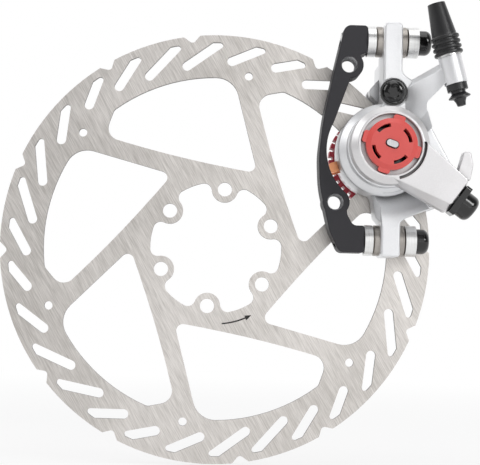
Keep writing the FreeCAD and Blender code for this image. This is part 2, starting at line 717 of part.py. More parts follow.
def scoop():
    """Concave slope from the drum down to the lower ear."""
    over = BODY_FRONT - PAST
    start = Vec(DRUM_R - PAST, SCOOP_FLOOR, 0)
    end = Vec(SCOOP_R + SCOOP_RUN_OUT[0], BODY_FRONT + SCOOP_RUN_OUT[1], 0)
    slope = Part.BSplineCurve()
    points = [start] + [Vec(x, y, 0) for x, y in SCOOP_MID] + [Vec(SCOOP_R, BODY_FRONT, 0), end]
    slope.interpolate(points)
    rim = Part.makePolygon([end, Vec(end.x, over, 0), Vec(start.x, over, 0), start])
    face = on_axis(Part.Face(Part.Wire([slope.toShape()] + rim.Edges)), SCOOP_FROM)
    return face.revolve(axis_point(0), OUTBOARD, SCOOP_SPAN)


def flank():
    """Wall that slopes from the lower ear's side in to the drum."""
    (x0, y0), (x1, y1) = FLANK_SLOPE
    low, high = (f(p[1] for p in FLANK_OUTLINE) for f in (min, max))
    corners = [Vec(x, y, low - PAST) for x, y in ((x0, y0), (x1, y1), (x1, y0 - PAST), (x0, y0 - PAST))]
    outside = Part.Face(Part.makePolygon(corners + corners[:1])).extrude(Vec(0, 0, high - low + 2 * PAST))
    return on_axis(plate(FLANK_OUTLINE, y0, -BODY_FACE).cut(outside))


def make_outboard_body():
    """Outboard half: plate with ears, drum, boss, cable-stop arm and bores."""
    main = round_y_edges(body_plate(OUTBOARD_OUTLINE, BODY_FRONT, -BODY_FACE), BODY_FRONT, EDGE_ROUND)
    drum = outboard_lathe((
        (0, -BODY_FACE), (DRUM_R, -BODY_FACE), (DRUM_R, DRUM_SHOULDER), (BOSS_R, BOSS_FOOT),
        (BOSS_R, BOSS_FRONT), (0, BOSS_FRONT)))
    drum = round_y_edges(round_y_edges(drum, DRUM_SHOULDER, DRUM_ROUND), BOSS_FRONT, BOSS_ROUND)
    body = main.fuse(flank()).cut(scoop()).fuse([drum, cable_arm(), bridge(-BODY_FACE - PAST, 0)])
    tools = [ring(BORE_R, BORE_END, 0), ring(SHAFT_HOLE_R, BOSS_FRONT - PAST, BORE_END + PAST)]
    tools += pad_room(-PAD_BACK - PAD_CLEAR, 0)
    tools += [ear_slot(z) for z in (PM_LOW, PM_HIGH)]
    for bolt in BODY_BOLTS:
        tools.append(ring(BODY_BOLT_R + BODY_BOLT_CLEAR, BODY_BOLT_SEAT - PAST, PAST, 0, bolt))
        tools.append(ring(BODY_FLANGE_R + SPOT_FACE_GAP, BOSS_FRONT, BODY_BOLT_SEAT, 0, bolt))
    tools.append(Part.makeCylinder(STOP_BORE_R, STOP_L + 2 * PAST, stop_point(STOP_L + PAST), stop_up()))
    return body.cut(Part.makeCompound(tools)).removeSplitter()


def make_inboard_body():
    """Inboard half: plate, drum with the foot thread, and bolt threads."""
    main = round_y_edges(body_plate(INBOARD_OUTLINE, BODY_FACE, INBOARD_BACK), INBOARD_BACK, EDGE_ROUND)
    drum = round_y_edges(ring(INBOARD_DRUM_R, BODY_FACE, INBOARD_DRUM_BACK), INBOARD_DRUM_BACK, EDGE_ROUND)
    body = main.fuse([drum, bridge(0, BODY_FACE + PAST)])
    tools = [ring(INBOARD_FOOT_R + INBOARD_FOOT_GAP, 0, INBOARD_DRUM_BACK + PAST)]
    tools += pad_room(0, PAD_BACK + PAD_CLEAR)
    tools += [ring(BODY_BOLT_R + THREAD_GAP, -PAST, BODY_BOLT_END + PAST, 0, bolt) for bolt in BODY_BOLTS]
    return body.cut(Part.makeCompound(tools)).removeSplitter()


def make_body_bolts():
    """Two flanged screws that clamp the halves."""
    bolt = screw(BODY_BOLT_HEAD_R, BODY_BOLT_HEAD_L, BODY_BOLT_R, BODY_BOLT_END - BODY_BOLT_SEAT)
    bolt = bolt.fuse(Part.makeCylinder(BODY_FLANGE_R, BODY_FLANGE_T))
    seats = [axis_point(BODY_BOLT_SEAT) + Vec(x, 0, z) for x, z in BODY_BOLTS]
    return Part.makeCompound([placed(bolt, seat, OUTBOARD) for seat in seats])


def lever_blade():
    """Blade with a flat face and a lower wall that slopes out to the clamp end."""
    face = rounded_wire(LEVER_FACE_OUTLINE, LEVER_FRONT)
    slope = Part.makeLoft([face, rounded_wire(LEVER_BACK_OUTLINE, LEVER_SLOPE_Y)], True, True)
    blade = slope.fuse(plate(LEVER_BACK_OUTLINE, LEVER_SLOPE_Y, LEVER_BACK)).removeSplitter()
    return on_axis(round_y_edges(blade, LEVER_FRONT, LEVER_ROUND))


def make_lever():
    """Lever with hub, knob seat, guide fin and clamp hole."""
    hub = outboard_lathe((
        (0, LEVER_BACK), (HUB_R, LEVER_BACK), (HUB_R, LEVER_FRONT + HUB_BEVEL), (HUB_TOP_R, LEVER_FRONT),
        (0, LEVER_FRONT)))
    hub = round_y_edges(hub, LEVER_FRONT, HUB_ROUND)
    fin = round_y_edges(body_plate(FIN_OUTLINE, FIN_FRONT, FIN_BACK), FIN_FRONT, FIN_ROUND)
    body = hub.fuse([lever_blade(), fin])
    groove_end = LEVER_FRONT + GROOVE_DEPTH
    clamp_l = PINCH_DEPTH + CLAMP_L
    tools = [
        ring(KNOB_SEAT_R, LEVER_FRONT - PAST, KNOB_SEAT_Y),
        ring(SHAFT_HOLE_R, LEVER_FRONT, LEVER_BACK + PAST),
        ring(SPRING_ROOM_R[1], SPRING_ROOM_Y, LEVER_BACK + PAST, SPRING_ROOM_R[0]),
        arc_groove(GROOVE_R, GROOVE_W, LEVER_FRONT - PAST, groove_end, GROOVE_FROM, GROOVE_SPAN),
        Part.makeCylinder(PINCH_R + THREAD_GAP, clamp_l, pinch_point(-PINCH_DEPTH), pinch_way())]
    return body.cut(Part.makeCompound(tools)).removeSplitter()


def pinch_way():
    """Outward direction of the clamp bolt."""
    x, z = polar(1.0, PINCH_ANGLE)
    return Vec(x, 0, z)


def pinch_point(out):
    """Point on the clamp bolt axis, measured out from the lever end."""
    return axis_point(PINCH_Y) + Vec(PINCH_POINT[0], 0, PINCH_POINT[1]) + pinch_way() * out


def make_pinch_washer():
    """Clamp plate with a shallow cable groove."""
    blank = Part.makeBox(CLAMP_T, CLAMP_W, CLAMP_L, Vec(0, -CLAMP_W / 2, -CLAMP_L / 2))
    short_edges = [e for e in blank.Edges if abs(e.BoundBox.XLength - CLAMP_T) < TINY]
    blank = blank.makeFillet(CLAMP_CORNER, short_edges)
    blank = blank.cut(Part.makeCylinder(PINCH_R + CLAMP_HOLE_GAP, CLAMP_T, ORIGIN, ALONG_X))
    groove_base = Vec(0, PINCH_R + CABLE_GROOVE_OUT, -CLAMP_L / 2)
    blank = turned(blank.cut(Part.makeCylinder(CABLE_GROOVE_R, CLAMP_L, groove_base)), PINCH_ANGLE)
    blank.translate(pinch_point(0))
    return blank


def make_pinch_bolt():
    """Domed clamp bolt."""
    bolt = screw(PINCH_HEAD_R, PINCH_HEAD_L, PINCH_R, CLAMP_T + PINCH_DEPTH - PINCH_END_GAP)
    return placed(bolt, pinch_point(CLAMP_T), pinch_way())


def tang(gap, y0, y1):
    """Flat tang of the adjuster screw, or the hole for it."""
    half, width = TANG_L / 2 + gap, TANG_W + 2 * gap
    round_end = width / 2 - TINY
    return on_axis(bar(-half, half, width, y0, y1, round_end, round_end), TANG_ANGLE)


def make_outboard_knob():
    """Red knob with a bevelled rim, grip tabs, arc slots and a tang hole."""
    rim = KNOB_FRONT + KNOB_BEVEL
    body = outboard_lathe((
        (0, KNOB_BACK), (KNOB_R, KNOB_BACK), (KNOB_R, rim), (KNOB_FACE_R, KNOB_FRONT), (0, KNOB_FRONT)))
    tab = bar(0, KNOB_TAB_R, KNOB_TAB_W, rim, KNOB_BACK, CORNER, KNOB_TAB_CORNER)
    body = body.fuse(around(on_axis(tab, KNOB_TAB_ANGLE), KNOB_TABS, axis_point(0))).removeSplitter()
    start = KNOB_SLOT_ANGLE - KNOB_SLOT_SPAN / 2
    y0, y1 = KNOB_FRONT - PAST, KNOB_BACK + PAST
    slot = arc_groove(KNOB_SLOT_R, KNOB_SLOT_W, y0, y1, start, KNOB_SLOT_SPAN)
    return body.cut([around_axis(slot, KNOB_TABS), tang(TANG_GAP, y0, y1)])


def make_foot_screw():
    """Adjuster screw inside the cam shaft, with a tang that fits the knob."""
    return ring(CAM_BORE_R - CAM_SHAFT_GAP, SCREW_END, DRIVE_CAM_FRONT).fuse(tang(0, TANG_FRONT, SCREW_END))


def ball_tracks():
    """Curved grooves for the ramp balls."""
    r = BALL_R + BALL_GAP
    centre = axis_point(BALL_Y)
    first = turned(Part.Vertex(centre + ALONG_X * BALL_CIRCLE_R), -TRACK_SPAN / 2, centre).Point
    circle = Part.makeCircle(r, centre + ALONG_X * BALL_CIRCLE_R, ALONG_Z)
    profile = turned(Part.Face(Part.Wire(circle)), -TRACK_SPAN / 2, centre)
    end = Part.makeSphere(r, first)
    track = profile.revolve(centre, OUTBOARD, TRACK_SPAN).fuse([end, turned(end, TRACK_SPAN, centre)])
    return around_axis(track, BALL_COUNT)


def make_fixed_cam():
    """Fixed ring with three ball tracks."""
    hole = SHAFT_HOLE_R + FIXED_CAM_HOLE_GAP
    return ring(BORE_R - FIXED_CAM_GAP, BORE_END, FIXED_CAM_FACE, hole).cut(ball_tracks())


def make_drive_cam():
    """Turning cam with three ball tracks and a hollow shaft up to the lever."""
    head = ring(DRIVE_CAM_R, DRIVE_CAM_FACE, DRIVE_CAM_FRONT)
    shaft = ring(SHAFT_HOLE_R - CAM_SHAFT_GAP, CAM_SHAFT_END, DRIVE_CAM_FACE)
    bore = ring(CAM_BORE_R, CAM_SHAFT_END - PAST, DRIVE_CAM_FRONT + PAST)
    return head.fuse(shaft).cut([bore, ball_tracks()])


def make_ramp_balls():
    """Three steel balls."""
    return around_axis(Part.makeSphere(BALL_R, axis_point(BALL_Y) + ALONG_X * BALL_CIRCLE_R), BALL_COUNT)


def make_ball_cage():
    """Thin ring that keeps the balls apart."""
    y = BALL_Y - CAGE_T / 2
    hole = ring(BALL_R + CAGE_GAP, y - PAST, y + CAGE_T + PAST, 0, (BALL_CIRCLE_R, 0.0))
    return ring(CAGE_R, y, y + CAGE_T, CAGE_HOLE_R).cut(around_axis(hole, BALL_COUNT))


def make_return_spring():
    """Coil between the boss and the lever hub, each half turn an arc in its own slanted plane."""
    first = SPRING_ROOM_Y + SPRING_WIRE_R + SPRING_END_GAP
    last = BOSS_FRONT - SPRING_WIRE_R - SPRING_END_GAP
    rise = (last - first) / SPRING_HALF_TURNS
    slant = math.degrees(math.atan2(rise / 2, SPRING_COIL_R))
    turns = []
    for k in range(SPRING_HALF_TURNS):
        side = 1 if k % 2 == 0 else -1
        start = axis_point(first + k * rise) + ALONG_X * (side * SPRING_COIL_R)
        circle = Part.Face(Part.Wire(Part.makeCircle(SPRING_WIRE_R, start, ALONG_Z)))
        way = FreeCAD.Rotation(ALONG_Z, -side * slant).multVec(INBOARD)
        turns.append(circle.revolve(axis_point(first + (k + 0.5) * rise), way, 180))
    return turns[0].fuse(turns[1:])


def make_dust_seal():
    """Thin seal between the boss and the lever hub."""
    return ring(SEAL_RING_R[1], BOSS_FRONT - SEAL_RING_T, BOSS_FRONT, SEAL_RING_R[0])


def make_outboard_foot():
    """Pressure foot behind the outboard pad."""
    face = -PAD_BACK - FOOT_GAP
    return ring(FOOT_R, face - FOOT_T, face).fuse(ring(FOOT_STEM_R, FOOT_BACK, face - FOOT_T))


def make_plate(side):
    """Pad plate with its pull tab; side is -1 outboard or 1 inboard."""
    y0, y1 = sorted((side * (PAD_BACK - PLATE_T), side * PAD_BACK))
    block = pad_block(PLATE_H, PLATE_W, y0, y1, PAD_CORNER)
    return block.fuse(tab_block(TAB_W, TAB_REACH, y0, y1)).removeSplitter()


def make_lining(side):
    """Friction lining of one pad with a dust groove."""
    near = ROTOR_T / 2 + PAD_GAP
    y0, y1 = sorted((side * near, side * (near + LINING_T)))
    lining = pad_block(LINING_H, LINING_W, y0, y1, LINING_CORNER)
    g0, g1 = sorted((side * (near - PAST), side * (near + LINING_GROOVE_DEPTH)))
    return lining.cut(pad_block(LINING_H + 2 * PAST, LINING_GROOVE_W, g0, g1, CORNER))


def make_inboard_foot():
    """Threaded foot behind the inboard pad with the stem for its knob."""
    body = ring(INBOARD_FOOT_R, PAD_BACK + FOOT_GAP, INBOARD_FOOT_END)
    return body.fuse(ring(INBOARD_STEM_R, INBOARD_FOOT_END, INBOARD_STEM_END))


def make_inboard_knob():
    """Large red knob with a notched rim."""
    body = round_y_edges(ring(IN_KNOB_R, IN_KNOB_FRONT, IN_KNOB_BACK), IN_KNOB_BACK, IN_KNOB_ROUND)
    y0, y1 = IN_KNOB_FRONT - PAST, IN_KNOB_BACK + PAST
    gap = on_axis(bar(IN_KNOB_ROOT_R, IN_KNOB_R + PAST, IN_KNOB_GAP_W, y0, y1))
    recess = ring(IN_KNOB_RECESS_R[1], IN_KNOB_BACK - IN_KNOB_RECESS, y1, IN_KNOB_RECESS_R[0])
    stem_room = ring(INBOARD_STEM_R + INBOARD_FOOT_GAP, y0, INBOARD_STEM_END + STEM_END_GAP)
    key_hole = ring(IN_KNOB_KEY_R, INBOARD_STEM_END, y1)
    return body.cut([around_axis(gap, IN_KNOB_TEETH), recess, stem_room, key_hole])


def make_pad_spring():
    """Leaf with two pairs of fingers and a bridge beyond the rotor edge."""
    outer, tab = PLATE_W / 2, LEAF_TAB_W / 2
    inner, low = outer - LEAF_W, LEAF_TOP - LEAF_W
    edge = AXIS_INSET + LEAF_EDGE_GAP
    top = edge + LEAF_T
    parts = [polygon(((edge, -tab), (top, -tab), (top, tab), (edge, tab)), -LEAF_Y, LEAF_Y)]
    for side in (-1, 1):
        y0, y1 = sorted((side * LEAF_Y, side * (LEAF_Y - LEAF_T)))
        for w0, w1 in ((-outer, -inner), (inner, outer)):
            parts.append(polygon(((LEAF_LOW, w0), (LEAF_TOP, w0), (LEAF_TOP, w1), (LEAF_LOW, w1)), y0, y1))
        parts.append(polygon(((low, -outer), (LEAF_TOP, -outer), (LEAF_TOP, outer), (low, outer)), y0, y1))
        parts.append(polygon(((low, -tab), (top, -tab), (top, tab), (low, tab)), y0, y1))
    return on_axis(parts[0].fuse(parts[1:]).removeSplitter(), AXIS_ANGLE)


def make_cable_ferrule():
    """Hollow stop in the tube: the housing ends on it and the inner cable runs through."""
    r = STOP_BORE_R - FERRULE_GAP
    profile = ((FERRULE_HOLE_R, -FERRULE_L), (r, -FERRULE_L), (r, FERRULE_GAP), (FLANGE_R, FERRULE_GAP))
    return lathe(profile + ((FLANGE_R, FLANGE_T), (FERRULE_HOLE_R, FLANGE_T)), stop_point(0), stop_up())


def make_adjuster_boot():
    """Ribbed boot with a tapered top around the cable housing."""
    side = BOOT_RIB_R - BOOT_RIB_ROUND
    profile = [(BOOT_BORE_R, FLANGE_T)]
    for k in range(BOOT_RIBS):
        base = FLANGE_T + k * BOOT_PITCH
        end = base + BOOT_RIB_T
        profile += [(side, base), (BOOT_RIB_R, base + BOOT_RIB_ROUND)]
        profile += [(BOOT_RIB_R, end - BOOT_RIB_ROUND), (side, end)]
        profile += [(BOOT_NECK_R, end), (BOOT_NECK_R, base + BOOT_PITCH)]
    top = FLANGE_T + BOOT_RIBS * BOOT_PITCH + BOOT_CONE_L
    return lathe(profile + [(BOOT_TOP_R, top), (BOOT_BORE_R, top)], stop_point(0), stop_up())


def make_cable_seal():
    """Black collar, neck, lip and tapered nipple under the tube."""
    bore = ((SEAL_BORE_R, CABLE_SEAL[-1][1]), (SEAL_BORE_R, 0.0))
    return lathe(CABLE_SEAL + bore, stop_point(STOP_L), stop_up() * -1)


def build():
    """Every sub-part by node name."""
    return {
        "rotor": make_rotor(),
        "mount_bracket": make_bracket(),
        "mount_bolts": make_mount_bolts(),
        "cup_washers": on_ears(cup_washer()),
        "ball_washers": on_ears(ball_washer()),
        "flat_washers": make_flat_washers(),
        "outboard_body": make_outboard_body(),
        "inboard_body": make_inboard_body(),
        "body_bolts": make_body_bolts(),
        "lever_arm": make_lever(),
        "pinch_washer": make_pinch_washer(),
        "pinch_bolt": make_pinch_bolt(),
        "outboard_knob": make_outboard_knob(),
        "foot_screw": make_foot_screw(),
        "drive_cam": make_drive_cam(),
        "fixed_cam": make_fixed_cam(),
        "ramp_balls": make_ramp_balls(),
        "ball_cage": make_ball_cage(),
        "return_spring": make_return_spring(),
        "dust_seal": make_dust_seal(),
        "outboard_foot": make_outboard_foot(),
        "outboard_pad_plate": make_plate(-1),
        "outboard_pad_lining": make_lining(-1),
        "inboard_pad_plate": make_plate(1),
        "inboard_pad_lining": make_lining(1),
        "inboard_foot": make_inboard_foot(),
        "inboard_knob": make_inboard_knob(),
        "pad_spring": make_pad_spring(),
        "cable_ferrule": make_cable_ferrule(),
        "adjuster_boot": make_adjuster_boot(),
        "cable_seal": make_cable_seal(),
    }


os.makedirs("parts", exist_ok=True)
for name, shape in build().items():
    print(name, shape.isValid(), len(shape.Solids), round(shape.Volume, 1))
    shape.exportStep("parts/" + name + ".step")
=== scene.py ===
"""Dresses the bicycle disc brake with its finishes and fine parts, and lights it for a studio view."""
import logging
import math
from dataclasses import dataclass, field
from enum import Enum
from typing import Any, ClassVar, Optional, Sequence, Union

import bpy
from mathutils import Matrix, Vector


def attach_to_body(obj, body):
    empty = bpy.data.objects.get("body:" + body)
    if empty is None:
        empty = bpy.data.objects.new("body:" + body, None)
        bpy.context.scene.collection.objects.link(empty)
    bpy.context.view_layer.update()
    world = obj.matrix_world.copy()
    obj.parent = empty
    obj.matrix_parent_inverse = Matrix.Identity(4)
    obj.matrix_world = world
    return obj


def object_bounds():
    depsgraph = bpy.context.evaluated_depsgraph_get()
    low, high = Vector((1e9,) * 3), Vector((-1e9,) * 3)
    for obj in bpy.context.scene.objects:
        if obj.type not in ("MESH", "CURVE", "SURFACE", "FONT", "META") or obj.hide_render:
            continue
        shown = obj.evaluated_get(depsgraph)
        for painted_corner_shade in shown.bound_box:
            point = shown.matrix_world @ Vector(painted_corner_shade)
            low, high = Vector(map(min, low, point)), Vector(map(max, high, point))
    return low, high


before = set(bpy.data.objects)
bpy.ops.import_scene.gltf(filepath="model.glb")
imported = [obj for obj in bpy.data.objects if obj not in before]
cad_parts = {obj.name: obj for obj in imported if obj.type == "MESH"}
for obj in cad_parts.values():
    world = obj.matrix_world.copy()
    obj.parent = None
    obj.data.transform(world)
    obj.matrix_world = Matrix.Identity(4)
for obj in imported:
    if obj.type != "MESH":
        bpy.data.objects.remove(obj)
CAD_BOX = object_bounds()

LOG = logging.getLogger("disc_brake")
MM = 0.001
QUARTER, HALF, TURN = 90.0, 180.0, 360.0

Number = Union[int, float]
Colour = tuple[float, float, float]
Point = tuple[float, float, float]
Spot = tuple[float, float]
Span = tuple[float, float]

WHITE: Colour = (1.0, 1.0, 1.0)
HUB: Spot = (0.0, 0.0)


class Body(Enum):
    """Rigid bodies of the brake that added pieces ride on."""

    CALIPER = "caliper"
    ROTOR = "rotor"


class Slot(Enum):
    """Material slots of the record."""

    ROTOR = "rotor_steel"
    BRACKET = "bracket_black"
    BOLT = "bolt_black"
    CUP = "washer_silver"
    BALL = "washer_tan"
    BODY = "body_silver"
    LEVER = "lever_silver"
    KNOB = "knob_red"
    # Darker copy of the knob's red, as painted shade for the inboard knob.
    KNOB_PAINTED_SHADE = "knob_crimson"
    STEEL = "steel"
    SPRING = "spring_steel"
    RUBBER = "rubber_black"
    COPPER = "copper_plate"
    LINING = "lining"


@dataclass(frozen=True)
class Noise:
    """One layer of noise, with its scale per metre."""

    scale: float
    detail: float = 2.0
    rough: float = 0.5


@dataclass(frozen=True)
class Relief:
    """Strength of a bump and its depth in metres."""

    strength: float
    depth: float


class Value:
    """A shader socket that takes part in Python arithmetic."""

    def __init__(self, shader: "Shader", socket: bpy.types.NodeSocket) -> None:
        """Wraps one output socket."""
        self.shader = shader
        self.socket = socket

    def math(self, operation: str, *inputs: Any) -> "Value":
        """Adds one Math node with these sockets or numbers."""
        return self.shader.node("ShaderNodeMath", {"operation": operation}, dict(enumerate(inputs)))

    def __add__(self, other: Any) -> "Value":
        """self + other."""
        return self.math("ADD", self, other)

    __radd__ = __add__

    def __mul__(self, other: Any) -> "Value":
        """self * other."""
        return self.math("MULTIPLY", self, other)

    __rmul__ = __mul__

    def __sub__(self, other: Any) -> "Value":
        """self - other."""
        return self.math("SUBTRACT", self, other)

    def __rsub__(self, other: Any) -> "Value":
        """other - self."""
        return self.math("SUBTRACT", other, self)

    def __abs__(self) -> "Value":
        """abs(self)."""
        return self.math("ABSOLUTE", self)

    def capped(self) -> "Value":
        """The value, or 1 where it is more."""
        return self.math("MINIMUM", self, 1.0)

    def step(self, low: Number, high: Number) -> "Value":
        """Smooth rise from 0 at low to 1 at high."""
        settings = {"interpolation_type": "SMOOTHSTEP"}
        return self.shader.node("ShaderNodeMapRange", settings, {"Value": self, "From Min": low, "From Max": high})


class Shader:
    """The node tree of a material or a world under construction."""

    mix_ends: ClassVar[tuple[int, int]] = (6, 7)
    mix_colour: ClassVar[int] = 2
    shade_samples: ClassVar[int] = 8
    shade_span: ClassVar[Span] = (0.1, 0.9)
    bevel_samples: ClassVar[int] = 6
    edge_span: ClassVar[Span] = (0.02, 0.25)

    def __init__(self, owner: Union[bpy.types.Material, bpy.types.World]) -> None:
        """Starts with an empty tree."""
        owner.use_nodes = True
        self.owner = owner
        self.tree = owner.node_tree
        self.tree.nodes.clear()

    def add(self, kind: str, settings: dict[str, Any], inputs: dict[Any, Any]) -> bpy.types.Node:
        """Adds any node.

        Args:
            kind: Blender's node type.
            settings: Properties set before the sockets.
            inputs: Values or links by socket name or index.

        Returns:
            The node.
        """
        made = self.tree.nodes.new(kind)
        for key, value in settings.items():
            setattr(made, key, value)
        for key, value in inputs.items():
            if isinstance(value, Value):
                self.tree.links.new(value.socket, made.inputs[key])
            else:
                made.inputs[key].default_value = value
        return made

    def node(self, kind: str, settings: dict[str, Any], inputs: dict[Any, Any], out: Any = 0) -> Value:
        """Adds any node and returns its output of that name or index."""
        return Value(self, self.add(kind, settings, inputs).outputs[out])

    def place(self) -> Value:
        """Object coordinates in metres."""
        return self.node("ShaderNodeTexCoord", {}, {}, "Object")

    def turned(self, place: Value, turn: Point, scale: Point) -> Value:
        """Turns coordinates and then scales them.

        Args:
            place: Coordinates.
            turn: Angles about the axes in degrees.
            scale: Factors along the turned axes.

        Returns:
            The new coordinates.
        """
        angles = tuple(math.radians(a) for a in turn)
        spun = self.node("ShaderNodeMapping", {"vector_type": "TEXTURE"}, {"Vector": place, "Rotation": angles})
        return self.node("ShaderNodeVectorMath", {"operation": "MULTIPLY"}, {0: spun, 1: scale})

    def noise(self, place: Value, layer: Noise) -> Value:
        """Noise from 0 to 1."""
        inputs = {"Vector": place, "Scale": layer.scale, "Detail": layer.detail, "Roughness": layer.rough}
        return self.node("ShaderNodeTexNoise", {}, inputs, "Fac")

    def mix(self, mask: Value, low: Union[Colour, Value], high: Union[Colour, Value]) -> Value:
        """Mixes two colours.

        Args:
            mask: 0 for the first colour and 1 for the second.
            low: First colour.
            high: Second colour.

        Returns:
            The colour between them.
        """
        ends = [end if isinstance(end, Value) else (*end, 1.0) for end in (low, high)]
        inputs = {"Factor": mask, **dict(zip(self.mix_ends, ends))}
        return self.node("ShaderNodeMix", {"data_type": "RGBA"}, inputs, self.mix_colour)

    def corner_shade_mask(self, reach: float) -> Value:
        """Mask that is 1 on open faces and falls to 0 in the tight corners of the piece itself, where it paints
        shade.
        """
        settings = {"samples": self.shade_samples, "only_local": True}
        return self.node("ShaderNodeAmbientOcclusion", settings, {"Distance": reach}, "AO").step(*self.shade_span)

    def bevel(self, radius: float) -> Value:
        """Normal that rounds every sharp edge."""
        return self.node("ShaderNodeBevel", {"samples": self.bevel_samples}, {"Radius": radius})

    def bump(self, height: Value, relief: Relief, normal: Optional[Value] = None) -> Value:
        """Bends a normal by a height.

        Args:
            height: Height from 0 to 1.
            relief: Strength and depth of the bump.
            normal: Normal to start from, if it isn't the surface's own.

        Returns:
            The bent normal.
        """
        inputs: dict[str, Any] = {"Height": height, "Strength": relief.strength, "Distance": relief.depth}
        if normal is not None:
            inputs["Normal"] = normal
        return self.node("ShaderNodeBump", {}, inputs)

    def dot(self, first: Value, second: Union[Point, Value]) -> Value:
        """Cosine of the angle between two directions."""
        return self.node("ShaderNodeVectorMath", {"operation": "DOT_PRODUCT"}, {0: first, 1: second}, "Value")

    def edges(self, rounded: Value) -> Value:
        """Mask that is 1 where a rounded normal leaves the plain one."""
        plain = self.node("ShaderNodeNewGeometry", {}, {}, "Normal")
        return (1.0 - self.dot(rounded, plain)).step(*self.edge_span)

    def facing(self, way: Point) -> Value:
        """Cosine of the angle between the surface's own normal and a direction."""
        return self.dot(self.node("ShaderNodeNewGeometry", {}, {}, "True Normal"), way)

    def surface(self, values: dict[str, Any]) -> bpy.types.Material:
        """Ends a material with one Principled shader that has these sockets set."""
        return self.end("ShaderNodeOutputMaterial", self.node("ShaderNodeBsdfPrincipled", {}, values))

    def end(self, kind: str, result: Value) -> Any:
        """Adds the output node and returns the material or world."""
        self.add(kind, {}, {"Surface": result})
        return self.owner


def material(name: str) -> Shader:
    """Shader of a new material."""
    return Shader(bpy.data.materials.new(name))


def around_half(value: Value, swing: float) -> Value:
    """A value from 0 to 1, turned into a swing to both sides of 0."""
    return (value - 0.5) * swing


# Lengths in the finishes are in metres and angles in degrees.
@dataclass(frozen=True)
class BrushedSheet:
    """Stainless sheet in the XZ plane, brushed along one slant and darker on its side walls."""

    name: str
    colour: Colour
    streak: Colour
    side_wall: Colour
    roughness: float
    metallic: float = 0.7
    uneven: float = 0.3
    slant: Point = (0.0, -30.0, 0.0)
    across: Point = (0.0, 1.0, 0.0)
    fine: Noise = Noise(1.0, 3.0, 0.65)
    fine_stretch: Point = (3000.0, 900.0, 150.0)
    fine_share: float = 0.54
    broad: Noise = Noise(1.0)
    broad_stretch: Point = (420.0, 60.0, 40.0)
    broad_share: float = 0.16
    cloud: Noise = Noise(24.0, 3.0)
    cloud_share: float = 0.3
    tone_span: Span = (0.3, 0.7)
    face_span: Span = (0.3, 0.7)
    relief: Relief = Relief(0.2, 0.00006)

    def build(self) -> bpy.types.Material:
        """Makes the node material.

        Returns:
            The material.
        """
        shader = material(self.name)
        place = shader.place()
        fine = shader.noise(shader.turned(place, self.slant, self.fine_stretch), self.fine)
        broad = shader.noise(shader.turned(place, self.slant, self.broad_stretch), self.broad)
        cloud = shader.noise(place, self.cloud)
        streaks = fine * self.fine_share + broad * self.broad_share + cloud * self.cloud_share
        sheet = shader.mix(streaks.step(*self.tone_span), self.streak, self.colour)
        face = abs(shader.facing(self.across)).step(*self.face_span)
        return shader.surface({
            # Faces that turn away from the sheet's axis take the dark side-wall colour.
            "Base Color": shader.mix(face, self.side_wall, sheet),
            "Metallic": self.metallic,
            "Roughness": self.roughness + around_half(streaks, self.uneven),
            "Normal": shader.bump(streaks, self.relief)})


@dataclass(frozen=True)
class BlastedAlloy:
    """Cast alloy with a fine blasted grain, softly rounded edges and painted shade in its tight corners."""

    name: str
    colour: Colour
    shade: Colour
    # Dark colour painted into tight corners as shade.
    painted_corner_shade: Colour
    roughness: float
    relief: Relief
    metallic: float = 0.7
    uneven: float = 0.1
    grain: Noise = Noise(2600.0)
    grain_share: float = 0.3
    cloud: Noise = Noise(55.0, 3.0)
    cloud_share: float = 0.7
    tone_span: Span = (0.3, 0.7)
    edge_round: float = 0.0004
    # How far the painted corner shade reaches, in metres.
    reach: float = 0.005

    def build(self) -> bpy.types.Material:
        """Makes the node material.

        Returns:
            The material.
        """
        shader = material(self.name)
        place = shader.place()
        grain = shader.noise(place, self.grain)
        cloud = shader.noise(place, self.cloud)
        tone = (cloud * self.cloud_share + grain * self.grain_share).step(*self.tone_span)
        alloy = shader.mix(tone, self.shade, self.colour)
        return shader.surface({
            # Tight corners take the dark corner colour: painted shade.
            "Base Color": shader.mix(shader.corner_shade_mask(self.reach), self.painted_corner_shade, alloy),
            "Metallic": self.metallic,
            "Roughness": self.roughness + around_half(cloud, self.uneven),
            "Normal": shader.bump(grain, self.relief, shader.bevel(self.edge_round))})


@dataclass(frozen=True)
class BlackCoat:
    """Dark coating that is brighter along its edges, partly from wear of the coat and partly as a painted edge
    highlight.
    """

    name: str
    colour: Colour
    wear_and_highlight_colour: Colour
    wear_and_highlight_share: float
    roughness: float
    gloss: float
    coat: float
    coat_roughness: float = 0.1
    metallic: float = 0.2
    uneven: float = 0.1
    grain: Noise = Noise(1900.0)
    scuff: Noise = Noise(260.0, 3.0)
    scuff_span: Span = (0.3, 0.62)
    edge_round: float = 0.0003
    relief: Relief = Relief(0.1, 0.00004)

    def build(self) -> bpy.types.Material:
        """Makes the node material.

        Returns:
            The material.
        """
        shader = material(self.name)
        place = shader.place()
        grain = shader.noise(place, self.grain)
        scuff = shader.noise(place, self.scuff).step(*self.scuff_span)
        # Edges take the brighter colour in patches, partly as wear and partly as a painted edge highlight.
        edge = shader.edges(shader.bevel(self.edge_round)) * self.wear_and_highlight_share * scuff
        return shader.surface({
            "Base Color": shader.mix(edge, self.colour, self.wear_and_highlight_colour),
            "Metallic": self.metallic,
            "Roughness": self.roughness + around_half(grain, self.uneven),
            "Specular IOR Level": self.gloss,
            "Coat Weight": self.coat,
            "Coat Roughness": self.coat_roughness,
            "Normal": shader.bump(grain, self.relief)})


